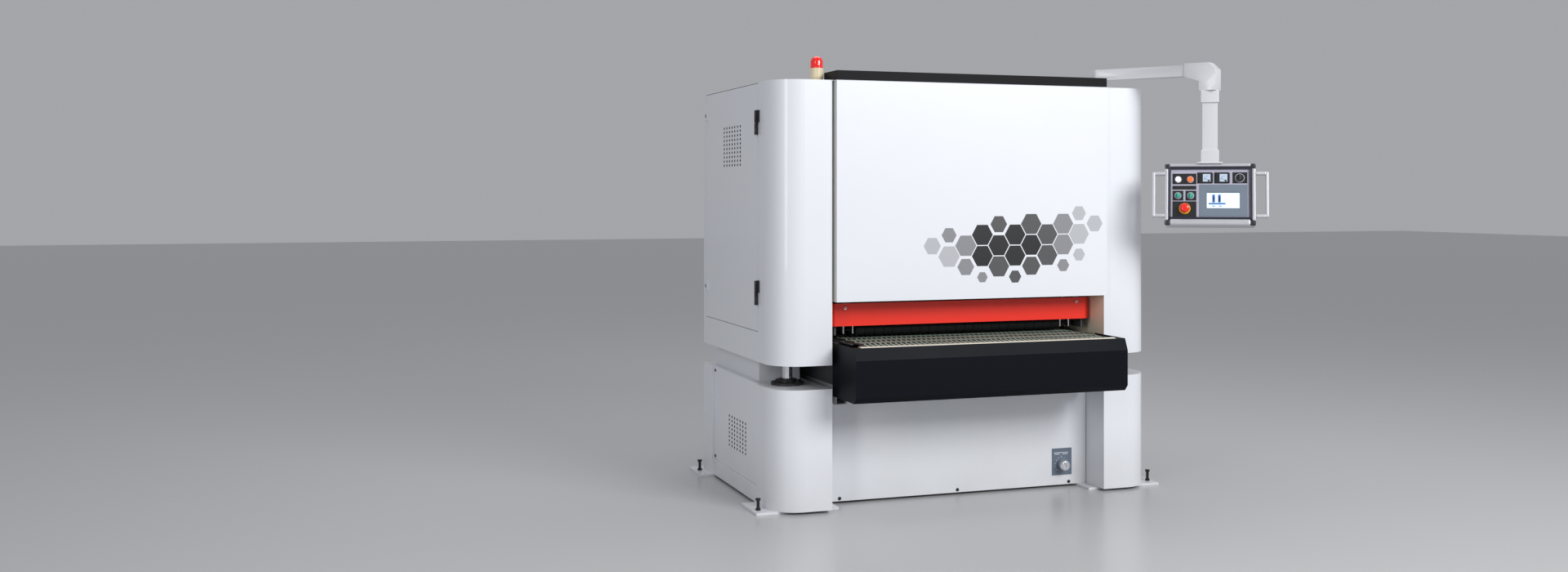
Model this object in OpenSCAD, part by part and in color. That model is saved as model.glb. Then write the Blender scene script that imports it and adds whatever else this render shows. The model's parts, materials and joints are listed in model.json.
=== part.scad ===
// Wide-belt edge rounding and deburring machine: a fixed base with a belt conveyor, and a
// sanding head that lifts on four columns. Millimetres, +Z up, the front faces -Y, and the
// origin is on the floor at the middle of the four anchor holes.

/* [Casing] */
// Width over both side housings
casing_w = 2104; // [2044:4:2204]
// Depth of the casing from the front columns to the back panel
casing_d = 1242; // [1222:2:1302]
// Height of the roof above the floor
roof_z = 2100; // [2060:5:2160]
// Width of each side housing
side_w = 296; // [286:2:306]
// Outside radius of the rounded front corners
corner_r = 155; // [120:5:170]
// Height of the base deck
deck_z = 600; // [580:5:620]
// Gap between the base deck and the head, as it stands
head_gap = 115; // [105:5:125]
// Thickness of the outer sheet metal
sheet_t = 3; // [2:0.5:4]
// Thickness of the base housing walls
base_t = 8; // [6:1:10]
// Thickness of the head's inner wall plates
wall_t = 12; // [10:1:14]

/* [Conveyor] */
// Height of the belt above the deck
belt_rise = 227; // [222:1:240]
// Gap between the ends of the conveyor covers and the side housings
cover_gap = 21; // [16:1:23]
// Distance from the ends of the covers to the belt's edges
belt_side = 70; // [66:1:100]
// Thickness of the rough-top belt
belt_t = 5; // [4:0.5:7]
// Radius of the conveyor drums
drum_r = 80; // [74:1:82]
// Distance of each drum's axis beyond the casing
drum_out = 150; // [144:1:160]
// Depth of each cover's slanted edges
cover_chamfer = 25; // [20:1:30]

/* [Sanding head] */
// Thickness of the work that the head stands ready for
stock_gap = 14; // [12:1:20]
// Radius of the rubber-covered contact roller
contact_r = 110; // [100:1:115]
// Radius of the steel tension roller
tension_r = 70; // [60:1:75]
// Distance between the axes of the two belt rollers
roller_span = 666; // [650:1:690]
// Thickness of the abrasive belt
abrasive_t = 1.5; // [1:0.5:3]
// Radius of the edge-rounding brush roller
brush_r = 130; // [110:1:135]
// Radius of the hold-down rollers
press_r = 31; // [26:1:33]
// Distance from the belt's edges to the ends of the hold-down rollers
press_side = 90; // [80:1:100]
// Height of the red guard above the belt
guard_rise = 66; // [60:1:72]
// Height of the front panel's lower edge above the belt
panel_rise = 195; // [190:1:205]

/* [Lift] */
// Radius of the chromed lift columns
rod_r = 25; // [20:1:28]
// Distance of the lift columns inside the casing's front and back
rod_in = 240; // [236:1:246]
// Length of the lift columns
rod_len = 796; // [780:2:820]

/* [Doors] */
// Height of the fixed skirt under each door
skirt_h = 148; // [140:2:160]
// Distance from the front face to each door's hinge
door_front = 256; // [250:1:264]
// Distance from the back face to each door's free edge
door_back = 52; // [48:1:60]

/* [Pendant] */
// Length of the swing arm between its two axes
arm_len = 603; // [560:1:640]
// Direction of the swing arm from the machine's width
arm_yaw = -55.3; // [-70:0.1:-30]
// Direction of the operator panel
pendant_yaw = -35.6; // [-60:0.1:0]
// Backward tilt of the operator panel
pendant_tilt = 10; // [6:1:14]
// Depth of the middle of the operator panel under the roof
pendant_low = 566; // [540:1:600]
// Width of the operator panel
pendant_w = 440; // [440:2:480]
// Height of the operator panel
pendant_h = 315; // [315:1:345]
// Depth of the operator panel
pendant_d = 125; // [110:1:135]

/* [Hidden] */

$fn = 48;
// Overrun of every cut past the face that it opens
cut = 1;
// Running clearance of a turning shaft in its bore
run_c = 0.05;
// Gap between a part that moves and the part beside it
near_c = 0.3;
// Visible joint between two sheets
seam = 3;
// Steps in which a belt bends round a pulley
belt_steps = 36;

x_out = casing_w / 2;
x_in = x_out - side_w;
y_front = -casing_d / 2;
y_back = casing_d / 2;
head_z = deck_z + head_gap;
belt_z = deck_z + belt_rise;
sand_z = belt_z + stock_gap;
panel_z = belt_z + panel_rise;
guard_z = belt_z + guard_rise;
roof_in = roof_z - sheet_t;
side_mid = (x_in + x_out) / 2;
wall_x = x_in + wall_t;
cover_w = 2 * (x_in - cover_gap);
belt_w = cover_w - 2 * belt_side;
press_w = belt_w - 2 * press_side;
// Places along the depth keep their share of it: the numbers are those of a casing this deep
depth_k = casing_d / 1242;
rod_y = y_back - rod_in;
press_y = 450 * depth_k;
drum_y = y_back + drum_out;

// Feet and anchor holes
foot_t = 12;
foot_out = 72;
foot_in = 56;
foot_len = 248;
foot_front = 55;
foot_back = 49;
foot_front_y = y_front + foot_front;
foot_back_y = y_back + foot_back - foot_len;
anchor_out = 46;
anchor_in = 171;
anchor_x = x_out + anchor_out;
anchor_y = y_back - anchor_in;
anchor_r = 9;
level_r = 8;
level_out = 44;
level_front = 118;
level_back = 71;
level_x = x_out + level_out;
level_front_y = y_front + level_front;
level_back_y = y_back - level_back;
level_top = 60;
hex_r = 13;
hex_h = 11;

// Access panels in the base's outer sides
recess_d = 17;
recess_front = 283;
recess_back = 167;
recess_y0 = y_front + recess_front;
recess_y1 = y_back - recess_back;
recess_z0 = 90;
ledge = 40;
deck_t = 10;
vent_r = 5;
vent_fn = 8;
vent_cols = 7;
vent_rows = 8;
door_vent_rows = 10;
vent_pitch_y = 48;
vent_pitch_z = 22;
panel_vent_y = 222;
panel_vent_z = 124;
door_vent_y = 296;
door_vent_z = 403;
apron_in = 175;
apron_y = y_front + apron_in;
apron_fold = 30;
screw_r = 9;
screw_h = 4;
screw_in = 16;
apron_screw_z = 26;

// Base cross frame
beam_w = 60;
beam_h = 98;
beam_wall = 5;
sill_h = 50;
frame_rise = 10;
frame_top = deck_z + frame_rise;

// Lift jacks and their drive
jack_flange_r = 82.5;
jack_flange_t = 14;
jack_collar_r = 50;
jack_collar_h = 12;
jack_tube_r = 45;
jack_box = 170;
jack_box_h = 110;
jack_depth = 290;
jack_bolt_r = 10;
jack_bolt_h = 8;
jack_bolt_ring = 66;
jack_soft = 4;
duct_w = 90;
duct_h = 60;
rod_low = 250;
rod_bottom = deck_z - rod_low;
rod_head_r = 55;
rod_head_t = 16;
bracket_t = 20;
bracket_w = 160;
rod_top = rod_bottom + rod_len;

// Necks that close the gap behind the front columns
neck_t = 5;
neck_gap = 10;
neck_side = 9.5;
neck_front = 410;
neck_back = 67;
neck_h = 240;
neck_x0 = wall_x + neck_gap;
neck_x1 = side_mid + jack_flange_r + neck_side;
neck_y0 = y_front + neck_front;
neck_y1 = y_back - neck_back;
neck_top = deck_z + neck_h;

// Conveyor
plate_t = 10;
plate_in = 10;
plate_low = 15;
plate_x = cover_w / 2 - plate_in;
plate_z1 = belt_z - plate_low;
plate_lip = 35;
drum_z = belt_z - belt_t - drum_r;
drum_over = 5;
drum_w = belt_w + 2 * drum_over;
drum_wall = 8;
drum_hub_t = 12;
drum_shaft_r = 20;
bed_t = 6;
bed_gap = 12;
bed_y = drum_y - drum_r - bed_gap;
bed_tube_w = 60;
bed_tube_h = 70;
block_w = 90;
block_h = 80;
block_t = 30;
cover_out = 107;
cover_front = drum_y + cover_out;
cover_t = 3;
cover_low = 7;
cover_h = 262;
cover_top = belt_z - cover_low;
cover_bottom = cover_top - cover_h;
cover_rise = 58;
cover_drop = 28;
cover_lip = 28;
cover_d = 308;
cover_back = cover_front - cover_d;
cover_lug = 40;
trim_t = 2;
gear_w = 150;
gear_t = 110;
gear_gap = 10;
gear_motor_r = 70;
gear_motor_len = 250;
gear_x = cover_w / 2 + gear_motor_r + gear_gap;
dial_w = 117;
dial_h = 141;
dial_in = 148;
dial_x = x_in - dial_in;
dial_z = 134;
knob_off = 3;
knob_x = dial_x - knob_off;
knob_z = 120;
knob_r = 27;
knob_h = 52;
knob_skirt = 14;
knob_soft = 4;
knob_bore_r = 5;

// Head frame
beam_d = 80;
beam_tall = 88;
beam_gap = 30;
beam_step = 20;
beam_low = 130;
lower_beam_y = press_y + beam_d / 2 + beam_gap;
upper_beam_y = lower_beam_y - beam_step;
upper_beam_z = roof_in - beam_low;
contact_y = -190 * depth_k;
contact_z = sand_z + abrasive_t + contact_r;
tension_z = contact_z + roller_span;
window_over = 30;
window_low = 10;
window_high = 40;
window_y0 = contact_y - contact_r - window_over;
window_y1 = contact_y + contact_r + window_over;
window_z0 = sand_z + window_low;
window_z1 = tension_z + tension_r + window_high;
roller_w = belt_w;
roller_wall = 14;
roller_shaft_r = 25;
roller_cheek = 7;
roller_gap = 20;
beam_x0 = -belt_w / 2 - roller_gap;
sand_beam_w = 130;
sand_beam_h = 240;
sand_beam_rise = 190;
sand_beam_z = contact_z + sand_beam_rise;
end_plate_t = 20;
end_plate_d = 20;
end_plate_up = 40;
end_plate_low = 30;
end_plate_soft = 12;
pulley_gap = 34;
pulley_x0 = wall_x + pulley_gap;
pulley_w = 60;
pulley_r = 62;
motor_y = 150 * depth_k;
motor_rise = 500;
motor_z = contact_z + motor_rise;
motor_r = 125;
motor_len = 370;
motor_flange_r = 150;
motor_flange_t = 18;
motor_shaft_r = 19;
motor_pulley_r = 72;
groove_n = 3;
groove_w = 16;
groove_d = 9;
vbelt_t = 8;
brush_y = 200 * depth_k;
brush_z = sand_z + brush_r;
brush_core_r = 60;
brush_flaps = 24;
brush_flap_t = 9;
brush_motor_r = 82;
brush_motor_len = 225;
bearing_r = 48;
bearing_t = 22;

// Guards
guard_h = 112;
guard_t = 2.5;
guard_bend = 48;
guard_lip = 20;
guard_side = 52;
guard_x = x_in - guard_side;
guard_front = 1;
guard_y = -lower_beam_y - guard_front;
guard_bolt_in = 106;
guard_bolt_rise = 89;
guard_bolt_x = x_in - guard_bolt_in;
guard_bolt_z = guard_z + guard_bolt_rise;
guard_bolt_r = 7;
guard_bolt_h = 5;
lug_w = 40;

// Hold-down rollers on their spring-hung forks
press_lift = 2;
press_z = sand_z - press_lift + press_r;
press_shaft_r = 8;
press_groove = 3;
press_pitch = 50;
fork_gap = 44;
fork_t = 6;
fork_d = 30;
fork_drop = 20;
fork_up = 48;
fork_top = press_z + fork_up;
fork_web = 10;
fork_side = 15;
fork_x = press_w / 2 + fork_side;
fork_rod_r = 7;
spring_r = 12;
spring_wire = 2;
spring_turns = 5;
spring_sides = 6;
spring_rings = 12;
hold_t = 12;
hold_over = 10;
hold_gap = 4;
hold_plate_z0 = panel_z - hold_t;
hold_x0 = press_w / 2 - hold_over;
hold_x1 = guard_x - hold_gap;
hold_d = 100;
shield_t = 10;

// Front panel and cap
panel_proud = 27;
panel_gap = 14;
panel_side = 1;
panel_x0 = -x_in + panel_gap;
panel_x1 = x_in - panel_side;
cap_h = 46;
cap_d = 150;
cap_back = y_front + cap_d;

// Doors, hinges and latches
door_y0 = y_front + door_front;
door_y1 = y_back - door_back;
door_z0 = head_z + skirt_h + seam;
door_z1 = roof_in - seam;
door_fold = 22;
hinge_out = 11;
hinge_r = 8;
hinge_pin_r = 4;
hinge_h = 124;
hinge_leaf = 24;
hinge_up = 280;
hinge_down = 262;
hinge_zs = [head_z + hinge_up, roof_z - hinge_down];
latch_w = 40;
latch_h = 52;
latch_out = 7;
latch_up = 296;
latch_down = 146;
latch_zs = [head_z + latch_up, roof_z - latch_down];
latch_eye_r = 11;

// Roof fittings
port_r = 75;
port_wall = 3;
port_h = 100;
port_x = 330;
port_y = 380 * depth_k;
port_flange = 22;
beacon_side = 25;
beacon_back = 150;
beacon_x = -x_in - beacon_side;
beacon_y = y_front + beacon_back;
beacon_r = 33.5;
beacon_foot_h = 20;
beacon_base_h = 48;
beacon_dome_h = 61;
beacon_pad = 14;

// Swing arm and drop tube
arm_tube_w = 75;
arm_tube_h = 56;
arm_wall = 4;
arm_over = 1;
arm_side = 66;
arm_back = 161;
arm_x = x_in + arm_side;
arm_y = y_front + arm_back;
arm_z = roof_z + cap_h + arm_over + arm_tube_h / 2;
pivot_r = 30;
pivot_flange_r = 62;
pivot_flange_t = 10;
pivot_bore_r = 18;
elbow_len = 118;
elbow_w = 84;
elbow_h = 140;
elbow_chamfer = 34;
elbow_up = 36;
elbow_top = arm_z + elbow_up;
elbow_pin_r = 20;
elbow_pin_h = 45;
tube_top = elbow_top - elbow_h - near_c;
coupling_h = 62;
coupling_w = 88;
coupling_t = 8;
wedge_x = 61.6;
pend_x = arm_x + arm_len * cos(arm_yaw);
pend_y = arm_y + arm_len * sin(arm_yaw);
pendant_z = roof_z - pendant_low;

// Operator panel, in its own frame: x to the right, -y out of the face. Its cells keep their
// share of the panel: the numbers are those of a panel this wide or this high
pw_k = pendant_w / 440;
ph_k = pendant_h / 315;
box_wall = 3;
face_w = 391 * pw_k;
face_h = 253 * ph_k;
face_t = 4;
face_rise = 9 * ph_k;
face_y = -pendant_d / 2;
frame_t = 20;
frame_back = 6;
cap_r = 24;
handle_out = 46;
handle_h = 232 * ph_k;
handle_t = 16;
handle_d = 34;
boss_h = 3;
button_r = 13;
button_collar_r = 17;
button_out = 12;
button_in = 16;
button_travel = 4;
selector_r = 14;
selector_bar = 7;
switch_r = 20;
stop_r = 24;
stop_ring_r = 28;
stop_stem_r = 9;
stop_out = 26;
button_row = 78 * ph_k;
lamp_x = -154 * pw_k;
start_x = -95 * pw_k;
meter_x0 = -19 * pw_k;
meter_x1 = 62 * pw_k;
meter_w = 66 * pw_k;
meter_h = 50 * ph_k;
meter_row = 85 * ph_k;
switch_x = 144 * pw_k;
selector_row = -5 * ph_k;
mode_x = -155 * pw_k;
feed_x = -93 * pw_k;
stop_x = -122 * pw_k;
stop_row = -71 * ph_k;
hmi_x = 64 * pw_k;
hmi_row = -30 * ph_k;
hmi_w = 231 * pw_k;
hmi_h = 162 * ph_k;
hmi_t = 6;
screen_w = 158 * pw_k;
screen_h = 88 * ph_k;
screen_t = 2;
// Y of the face plate's outer surface, and of the collars' outer surface
face_top = face_y + frame_t - 2 * face_t;
collar_top = face_top - boss_h;

// A box between two corners
module slab(x0, x1, y0, y1, z0, z1)
    translate([x0, y0, z0]) cube([x1 - x0, y1 - y0, z1 - z0]);

module shaft_x(x0, x1, y, z, r)
    translate([x0, y, z]) rotate([0, 90, 0]) cylinder(h = x1 - x0, r = r);

module shaft_y(y0, y1, x, z, r)
    translate([x, y0, z]) rotate([-90, 0, 0]) cylinder(h = y1 - y0, r = r);

module both_sides() {
    children();
    mirror([1, 0, 0]) children();
}

module both_ends() {
    children();
    mirror([0, 1, 0]) children();
}

module hex_head(r, h) cylinder(h = h, r = r, $fn = 6);

// A rectangular tube along X
module tube_x(x0, x1, y0, y1, z0, z1, wall) difference() {
    slab(x0, x1, y0, y1, z0, z1);
    slab(x0 - cut, x1 + cut, y0 + wall, y1 - wall, z0 + wall, z1 - wall);
}

// A rectangular tube along Y
module tube_y(x0, x1, y0, y1, z0, z1, wall) difference() {
    slab(x0, x1, y0, y1, z0, z1);
    slab(x0 + wall, x1 - wall, y0 - cut, y1 + cut, z0 + wall, z1 - wall);
}

// Quarter disc of the rounded front corner
module corner_disc(r) intersection() {
    translate([x_out - corner_r, y_front + corner_r]) circle(r = r);
    translate([x_out - corner_r - cut, y_front]) square([corner_r + cut, corner_r + cut]);
}

// Plan of the right-hand side housing, drawn in by an inset on every side
module side_plan(inset) {
    cx = x_out - corner_r;
    cy = y_front + corner_r;
    corner_disc(corner_r - inset);
    translate([x_in + inset, y_front + inset]) square([cx - x_in - inset, corner_r - inset]);
    translate([x_in + inset, cy]) square([x_out - x_in - 2 * inset, y_back - inset - cy]);
}

// Points of an arc about c, in small steps
function arc_points(c, r, from, to) = [for (i = [0 : belt_steps])
    c + r * [cos(from + (to - from) * i / belt_steps), sin(from + (to - from) * i / belt_steps)]];

// Outline of a belt round two pulleys at a and b, at the given radii
function belt_outline(a, ra, b, rb) =
    let (u = b - a, along = atan2(u[1], u[0]), side = acos((ra - rb) / norm(u)))
    concat(arc_points(a, ra, along + side, along + 360 - side),
           arc_points(b, rb, along - side, along + side));

// A belt of the given thickness round two pulleys whose axes lie along X
module belt_loop(x0, x1, a, ra, b, rb, thick)
    translate([x0, 0, 0]) rotate([90, 0, 90]) linear_extrude(x1 - x0) difference() {
        polygon(belt_outline(a, ra + thick, b, rb + thick));
        polygon(belt_outline(a, ra, b, rb));
    }

// A field of vent holes through a sheet whose normal is X
module vents(x, y0, z0, rows)
    for (i = [0 : vent_cols - 1], j = [0 : rows - 1])
        translate([x, y0 + i * vent_pitch_y, z0 + j * vent_pitch_z]) rotate([0, 90, 0])
            cylinder(h = 2 * (sheet_t + cut), r = vent_r, center = true, $fn = vent_fn);

// Floor sills, top cross tubes and the two rails that the conveyor stands on
module base_frame() color("gainsboro") {
    rail_x = plate_x - plate_t - beam_w / 2;
    both_ends() {
        tube_x(-x_in, x_in, apron_y + sheet_t, apron_y + sheet_t + beam_w, foot_t, foot_t + sill_h,
               beam_wall);
        tube_x(-x_in, x_in, apron_y + sheet_t, apron_y + sheet_t + beam_w,
               frame_top - 2 * beam_h, frame_top - beam_h, beam_wall);
    }
    both_sides()
        tube_y(rail_x - beam_w / 2, rail_x + beam_w / 2, y_front + beam_w, y_back - beam_w,
               frame_top - beam_h, frame_top, beam_wall);
}

// The two side boxes of the base, with the recess for the access panel
module base_housings() color("white") both_sides() difference() {
    union() {
        difference() {
            translate([0, 0, foot_t]) linear_extrude(deck_z - foot_t) side_plan(0);
            translate([0, 0, foot_t - cut])
                linear_extrude(deck_z - deck_t - foot_t + cut) side_plan(base_t);
        }
        slab(x_out - recess_d - base_t, x_out - base_t / 2, recess_y0 - base_t,
             recess_y1 + base_t, recess_z0 - base_t, deck_z - deck_t / 2);
    }
    slab(x_out - recess_d, x_out + cut, recess_y0, recess_y1, recess_z0, deck_z + cut);
    slab(x_out - recess_d - base_t - cut, x_out, recess_y0 + ledge, recess_y1 - ledge,
         recess_z0 + ledge, deck_z - deck_t - ledge);
    for (y = [-rod_y, rod_y])
        translate([side_mid, y, deck_z - deck_t - cut])
            cylinder(h = deck_t + 2 * cut, r = jack_tube_r + cut);
    slab(x_in - cut, x_in + base_t + cut, -duct_w / 2 - cut, duct_w / 2 + cut,
         deck_z - jack_depth - jack_box_h - duct_h - cut, deck_z - jack_depth - jack_box_h + cut);
}

// The vented access panels at the sides and the two aprons under the conveyor
module lower_panels() color("whitesmoke") {
    both_sides() difference() {
        slab(x_out - recess_d, x_out - recess_d + sheet_t, recess_y0 + seam, recess_y1 - seam,
             recess_z0 + seam, deck_z - seam);
        vents(x_out - recess_d + sheet_t / 2, recess_y0 + panel_vent_y, recess_z0 + panel_vent_z,
              vent_rows);
    }
    both_ends() difference() {
        slab(-x_in + seam, x_in - seam, apron_y, apron_y + apron_fold, foot_t + near_c,
             frame_top - beam_h);
        slab(-x_in + seam + sheet_t, x_in - seam - sheet_t, apron_y + sheet_t,
             apron_y + apron_fold + cut, 0, frame_top - beam_h + cut);
        slab(-x_in, x_in, apron_y + sheet_t - near_c, apron_y + apron_fold + cut,
             foot_t - near_c, foot_t + sill_h + near_c);
        slab(-x_in, x_in, apron_y + sheet_t - near_c, apron_y + apron_fold + cut,
             frame_top - 2 * beam_h - near_c, frame_top);
    }
}

// Four welded foot plates, each with an anchor hole
module foot_plates() color("white") both_sides() for (back = [false, true]) {
    y0 = back ? foot_back_y : foot_front_y;
    level_y = back ? level_back_y : level_front_y;
    difference() {
        slab(x_in - foot_in, x_out + foot_out, y0, y0 + foot_len, 0, foot_t);
        translate([anchor_x, back ? anchor_y : -anchor_y, -cut])
            cylinder(h = foot_t + 2 * cut, r = anchor_r);
        translate([level_x, level_y, -cut])
            cylinder(h = foot_t + 2 * cut, r = level_r + run_c);
    }
}

// Hex bolts with lock nuts, one in each foot plate
module levelling_bolts() color("dimgray") both_sides()
    for (y = [level_front_y, level_back_y]) translate([level_x, y, 0]) {
        cylinder(h = level_top, r = level_r);
        translate([0, 0, level_top]) hex_head(hex_r, hex_h);
        translate([0, 0, foot_t]) hex_head(hex_r, hex_h);
    }

// Fixed sheet ducts on the deck that telescope into the head
module necks() color("white") both_sides() difference() {
    slab(neck_x0, neck_x1, neck_y0, neck_y1, deck_z, neck_top);
    slab(neck_x0 + neck_t, neck_x1 - neck_t, neck_y0 + neck_t, neck_y1 - neck_t,
         deck_z - cut, neck_top + cut);
}

// Four flanged screw jacks in the deck, which guide the lift columns
module lift_jacks() color("dimgray") both_sides() both_ends() translate([side_mid, rod_y, 0]) {
    difference() {
        union() {
            translate([0, 0, deck_z]) rotate_extrude() polygon([
                [0, 0], [jack_flange_r, 0], [jack_flange_r, jack_flange_t - jack_soft / 2],
                [jack_flange_r - jack_soft / 2, jack_flange_t], [jack_collar_r, jack_flange_t],
                [jack_collar_r, jack_flange_t + jack_collar_h],
                [jack_collar_r - 1.5 * jack_soft, jack_flange_t + jack_collar_h + jack_soft],
                [0, jack_flange_t + jack_collar_h + jack_soft]
            ]);
            translate([0, 0, deck_z - jack_depth - cut])
                cylinder(h = jack_depth + 2 * cut, r = jack_tube_r);
            translate([-jack_box / 2, -jack_box / 2, deck_z - jack_depth - jack_box_h])
                cube([jack_box, jack_box, jack_box_h]);
        }
        translate([0, 0, deck_z - jack_depth])
            cylinder(h = jack_depth + head_gap, r = rod_r + run_c);
    }
    for (a = [0 : 60 : 300]) rotate([0, 0, a]) translate([jack_bolt_ring, 0, deck_z + jack_flange_t])
        hex_head(jack_bolt_r, jack_bolt_h);
}

// Closed chain cases that tie the four jacks to one gearmotor
module lift_drive() color("gray") {
    top = deck_z - jack_depth - jack_box_h;
    both_sides() {
        slab(side_mid - duct_w / 2, side_mid + duct_w / 2, -rod_y - duct_w / 2,
             rod_y + duct_w / 2, top - duct_h, top);
        slab(duct_w, side_mid - duct_w / 2, -duct_w / 2, duct_w / 2, top - duct_h, top);
    }
    slab(-duct_w, duct_w, -duct_w, duct_w, top - duct_h, top + duct_h);
    translate([0, 0, top + duct_h]) cylinder(h = gear_motor_len / 2, r = gear_motor_r);
}

module pan_screw() rotate_extrude() polygon([
    [0, 0], [screw_r, 0], [screw_r, screw_h / 2], [screw_r * 0.6, screw_h], [0, screw_h]
]);

// Black pan-head screws of the lower panels
module casing_screws() color("black") {
    both_sides() for (y = [recess_y0 + screw_in + seam, recess_y1 - screw_in - seam],
                      z = [recess_z0 + screw_in + seam, deck_z - screw_in - 2 * seam])
        translate([x_out - recess_d + sheet_t, y, z]) rotate([0, 90, 0]) pan_screw();
    both_ends() for (x = [-guard_bolt_x, 0, guard_bolt_x])
        translate([x, apron_y, apron_screw_z]) rotate([90, 0, 0]) pan_screw();
}

// Side plates, cross tubes, bed plate and the four bearing blocks of the conveyor
module conveyor_frame() color("dimgray") {
    difference() {
        union() {
            both_sides() {
                slab(plate_x - plate_t, plate_x, -cover_front + 2 * cover_chamfer,
                     cover_front - 2 * cover_chamfer, frame_top, plate_z1);
                slab(plate_x - plate_t - plate_lip, plate_x - plate_t + cut, y_front + beam_w,
                     y_back - beam_w, frame_top, frame_top + plate_t);
                both_ends() {
                    slab(plate_x - plate_t - block_t, plate_x - plate_t + cut,
                         drum_y - block_w / 2, drum_y + block_w / 2,
                         drum_z - block_h / 2, drum_z + block_h / 2);
                    slab(plate_x - cut, cover_w / 2 - cover_t, cover_back + plate_lip,
                         cover_back + plate_lip + cover_lug, drum_z - cover_lug / 2,
                         drum_z + cover_lug / 2);
                }
            }
            for (y = [-bed_y * 0.75, -bed_y * 0.25, bed_y * 0.25, bed_y * 0.75])
                slab(-plate_x + plate_t - cut, plate_x - plate_t + cut, y - bed_tube_w / 2,
                     y + bed_tube_w / 2, belt_z - belt_t - bed_t - bed_tube_h,
                     belt_z - belt_t - bed_t);
        }
        both_ends() shaft_x(-plate_x - cut, plate_x + cut, drum_y, drum_z, drum_shaft_r + run_c);
    }
    slab(-plate_x + plate_t + block_t, plate_x - plate_t - block_t, -bed_y, bed_y,
         belt_z - belt_t - bed_t, belt_z - belt_t);
}

// The endless rough-top belt: two straight runs and a half turn over each drum
module conveyor_belt() color("darkseagreen") {
    inside = drum_r + near_c;
    both_ends() translate([-belt_w / 2, drum_y, drum_z]) rotate([90, 0, 90]) rotate([0, 0, -90])
        rotate_extrude(angle = 180) translate([inside, 0]) square([belt_t - near_c, belt_w]);
    for (z = [drum_z - drum_r - belt_t, drum_z + inside])
        slab(-belt_w / 2, belt_w / 2, -drum_y, drum_y, z, z + belt_t - near_c);
}

// A steel drum with welded end discs; the long shaft end takes the gearmotor
module drum(y, long_end) {
    shaft_x(-plate_x + seam, plate_x - seam + long_end, y, drum_z, drum_shaft_r);
    difference() {
        shaft_x(-drum_w / 2, drum_w / 2, y, drum_z, drum_r);
        both_sides() shaft_x(drum_w / 2 - drum_hub_t, drum_w / 2 + cut, y, drum_z,
                             drum_r - drum_wall);
    }
}

module infeed_drum() color("silver") drum(-drum_y, 0);

module outfeed_drum() color("silver") drum(drum_y, gear_x + gear_t / 2 - plate_x);

// Hollow-shaft gearmotor that hangs on the outfeed drum's shaft behind the casing
module conveyor_gearmotor() color("slategray") difference() {
    union() {
        slab(gear_x - gear_t / 2, gear_x + gear_t / 2, drum_y - gear_w / 2, drum_y + gear_w / 2,
             drum_z - gear_w / 2, drum_z + gear_w / 2);
        translate([gear_x, drum_y, drum_z - gear_w / 2 - gear_motor_len])
            cylinder(h = gear_motor_len + cut, r = gear_motor_r);
        slab(plate_x, gear_x - gear_t / 2 + cut, drum_y - drum_shaft_r, drum_y + drum_shaft_r,
             drum_z - gear_w / 2, drum_z - gear_w / 2 + plate_t);
    }
    shaft_x(gear_x - gear_t / 2 - cut, gear_x + gear_t / 2 + cut, drum_y, drum_z,
            drum_shaft_r + run_c);
}

// Side outline of a cover, drawn in by an inset: slanted top and bottom edges
function cover_outline(inset, back) = [
    [-cover_front + cover_chamfer + inset, cover_top - inset],
    [back, cover_top - inset],
    [back, cover_bottom + inset],
    [-cover_front + cover_chamfer + inset, cover_bottom + inset],
    [-cover_front + inset, cover_bottom + cover_drop],
    [-cover_front + inset, cover_top - cover_rise]
];

// A folded cover over the infeed end, with end cheeks
module end_cover() difference() {
    translate([-cover_w / 2, 0, 0]) rotate([90, 0, 90]) linear_extrude(cover_w)
        polygon(cover_outline(0, -cover_back));
    translate([-cover_w / 2 + cover_t, 0, 0]) rotate([90, 0, 90])
        linear_extrude(cover_w - 2 * cover_t)
            polygon(cover_outline(cover_t, -cover_back + cut));
    for (z = [cover_top - cover_t, cover_bottom])
        slab(-cover_w / 2 + cover_t, cover_w / 2 - cover_t,
             -cover_front + cover_chamfer + cover_lip, -cover_back + cut, z - cut,
             z + cover_t + cut);
}

// Black covers over both conveyor ends; the rear one is open where the gearmotor sits
module conveyor_covers() color("#22262c") {
    end_cover();
    difference() {
        mirror([0, 1, 0]) end_cover();
        slab(cover_w / 2 - 2 * cover_t, cover_w / 2 + cut, drum_y - drum_shaft_r - 2 * seam,
             drum_y + drum_shaft_r + 2 * seam, drum_z - gear_w / 2 - 2 * seam,
             drum_z + drum_shaft_r + 2 * seam);
    }
}

// Scale plate of the feed speed knob
module dial_plate() color("slategray") difference() {
    slab(dial_x - dial_w / 2, dial_x + dial_w / 2, apron_y - trim_t, apron_y,
         dial_z - dial_h / 2, dial_z + dial_h / 2);
    shaft_y(apron_y - trim_t - cut, apron_y + cut, knob_x, knob_z, knob_bore_r + run_c);
}

// Machined feed speed knob
module speed_knob() color("silver") translate([knob_x, apron_y - trim_t - near_c, knob_z])
    rotate([90, 0, 0]) difference() {
        rotate_extrude() polygon([
            [0, 0], [knob_r, 0], [knob_r, knob_h - knob_soft], [knob_r - knob_soft, knob_h],
            [0, knob_h]
        ]);
        for (a = [0 : 30 : 330]) rotate([0, 0, a])
            translate([knob_r + knob_soft / 2, 0, knob_skirt])
                cylinder(h = knob_h, r = knob_soft);
    }

module wall_plate() slab(x_in, wall_x, y_front + sheet_t, y_back - sheet_t, head_z, roof_in);

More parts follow.
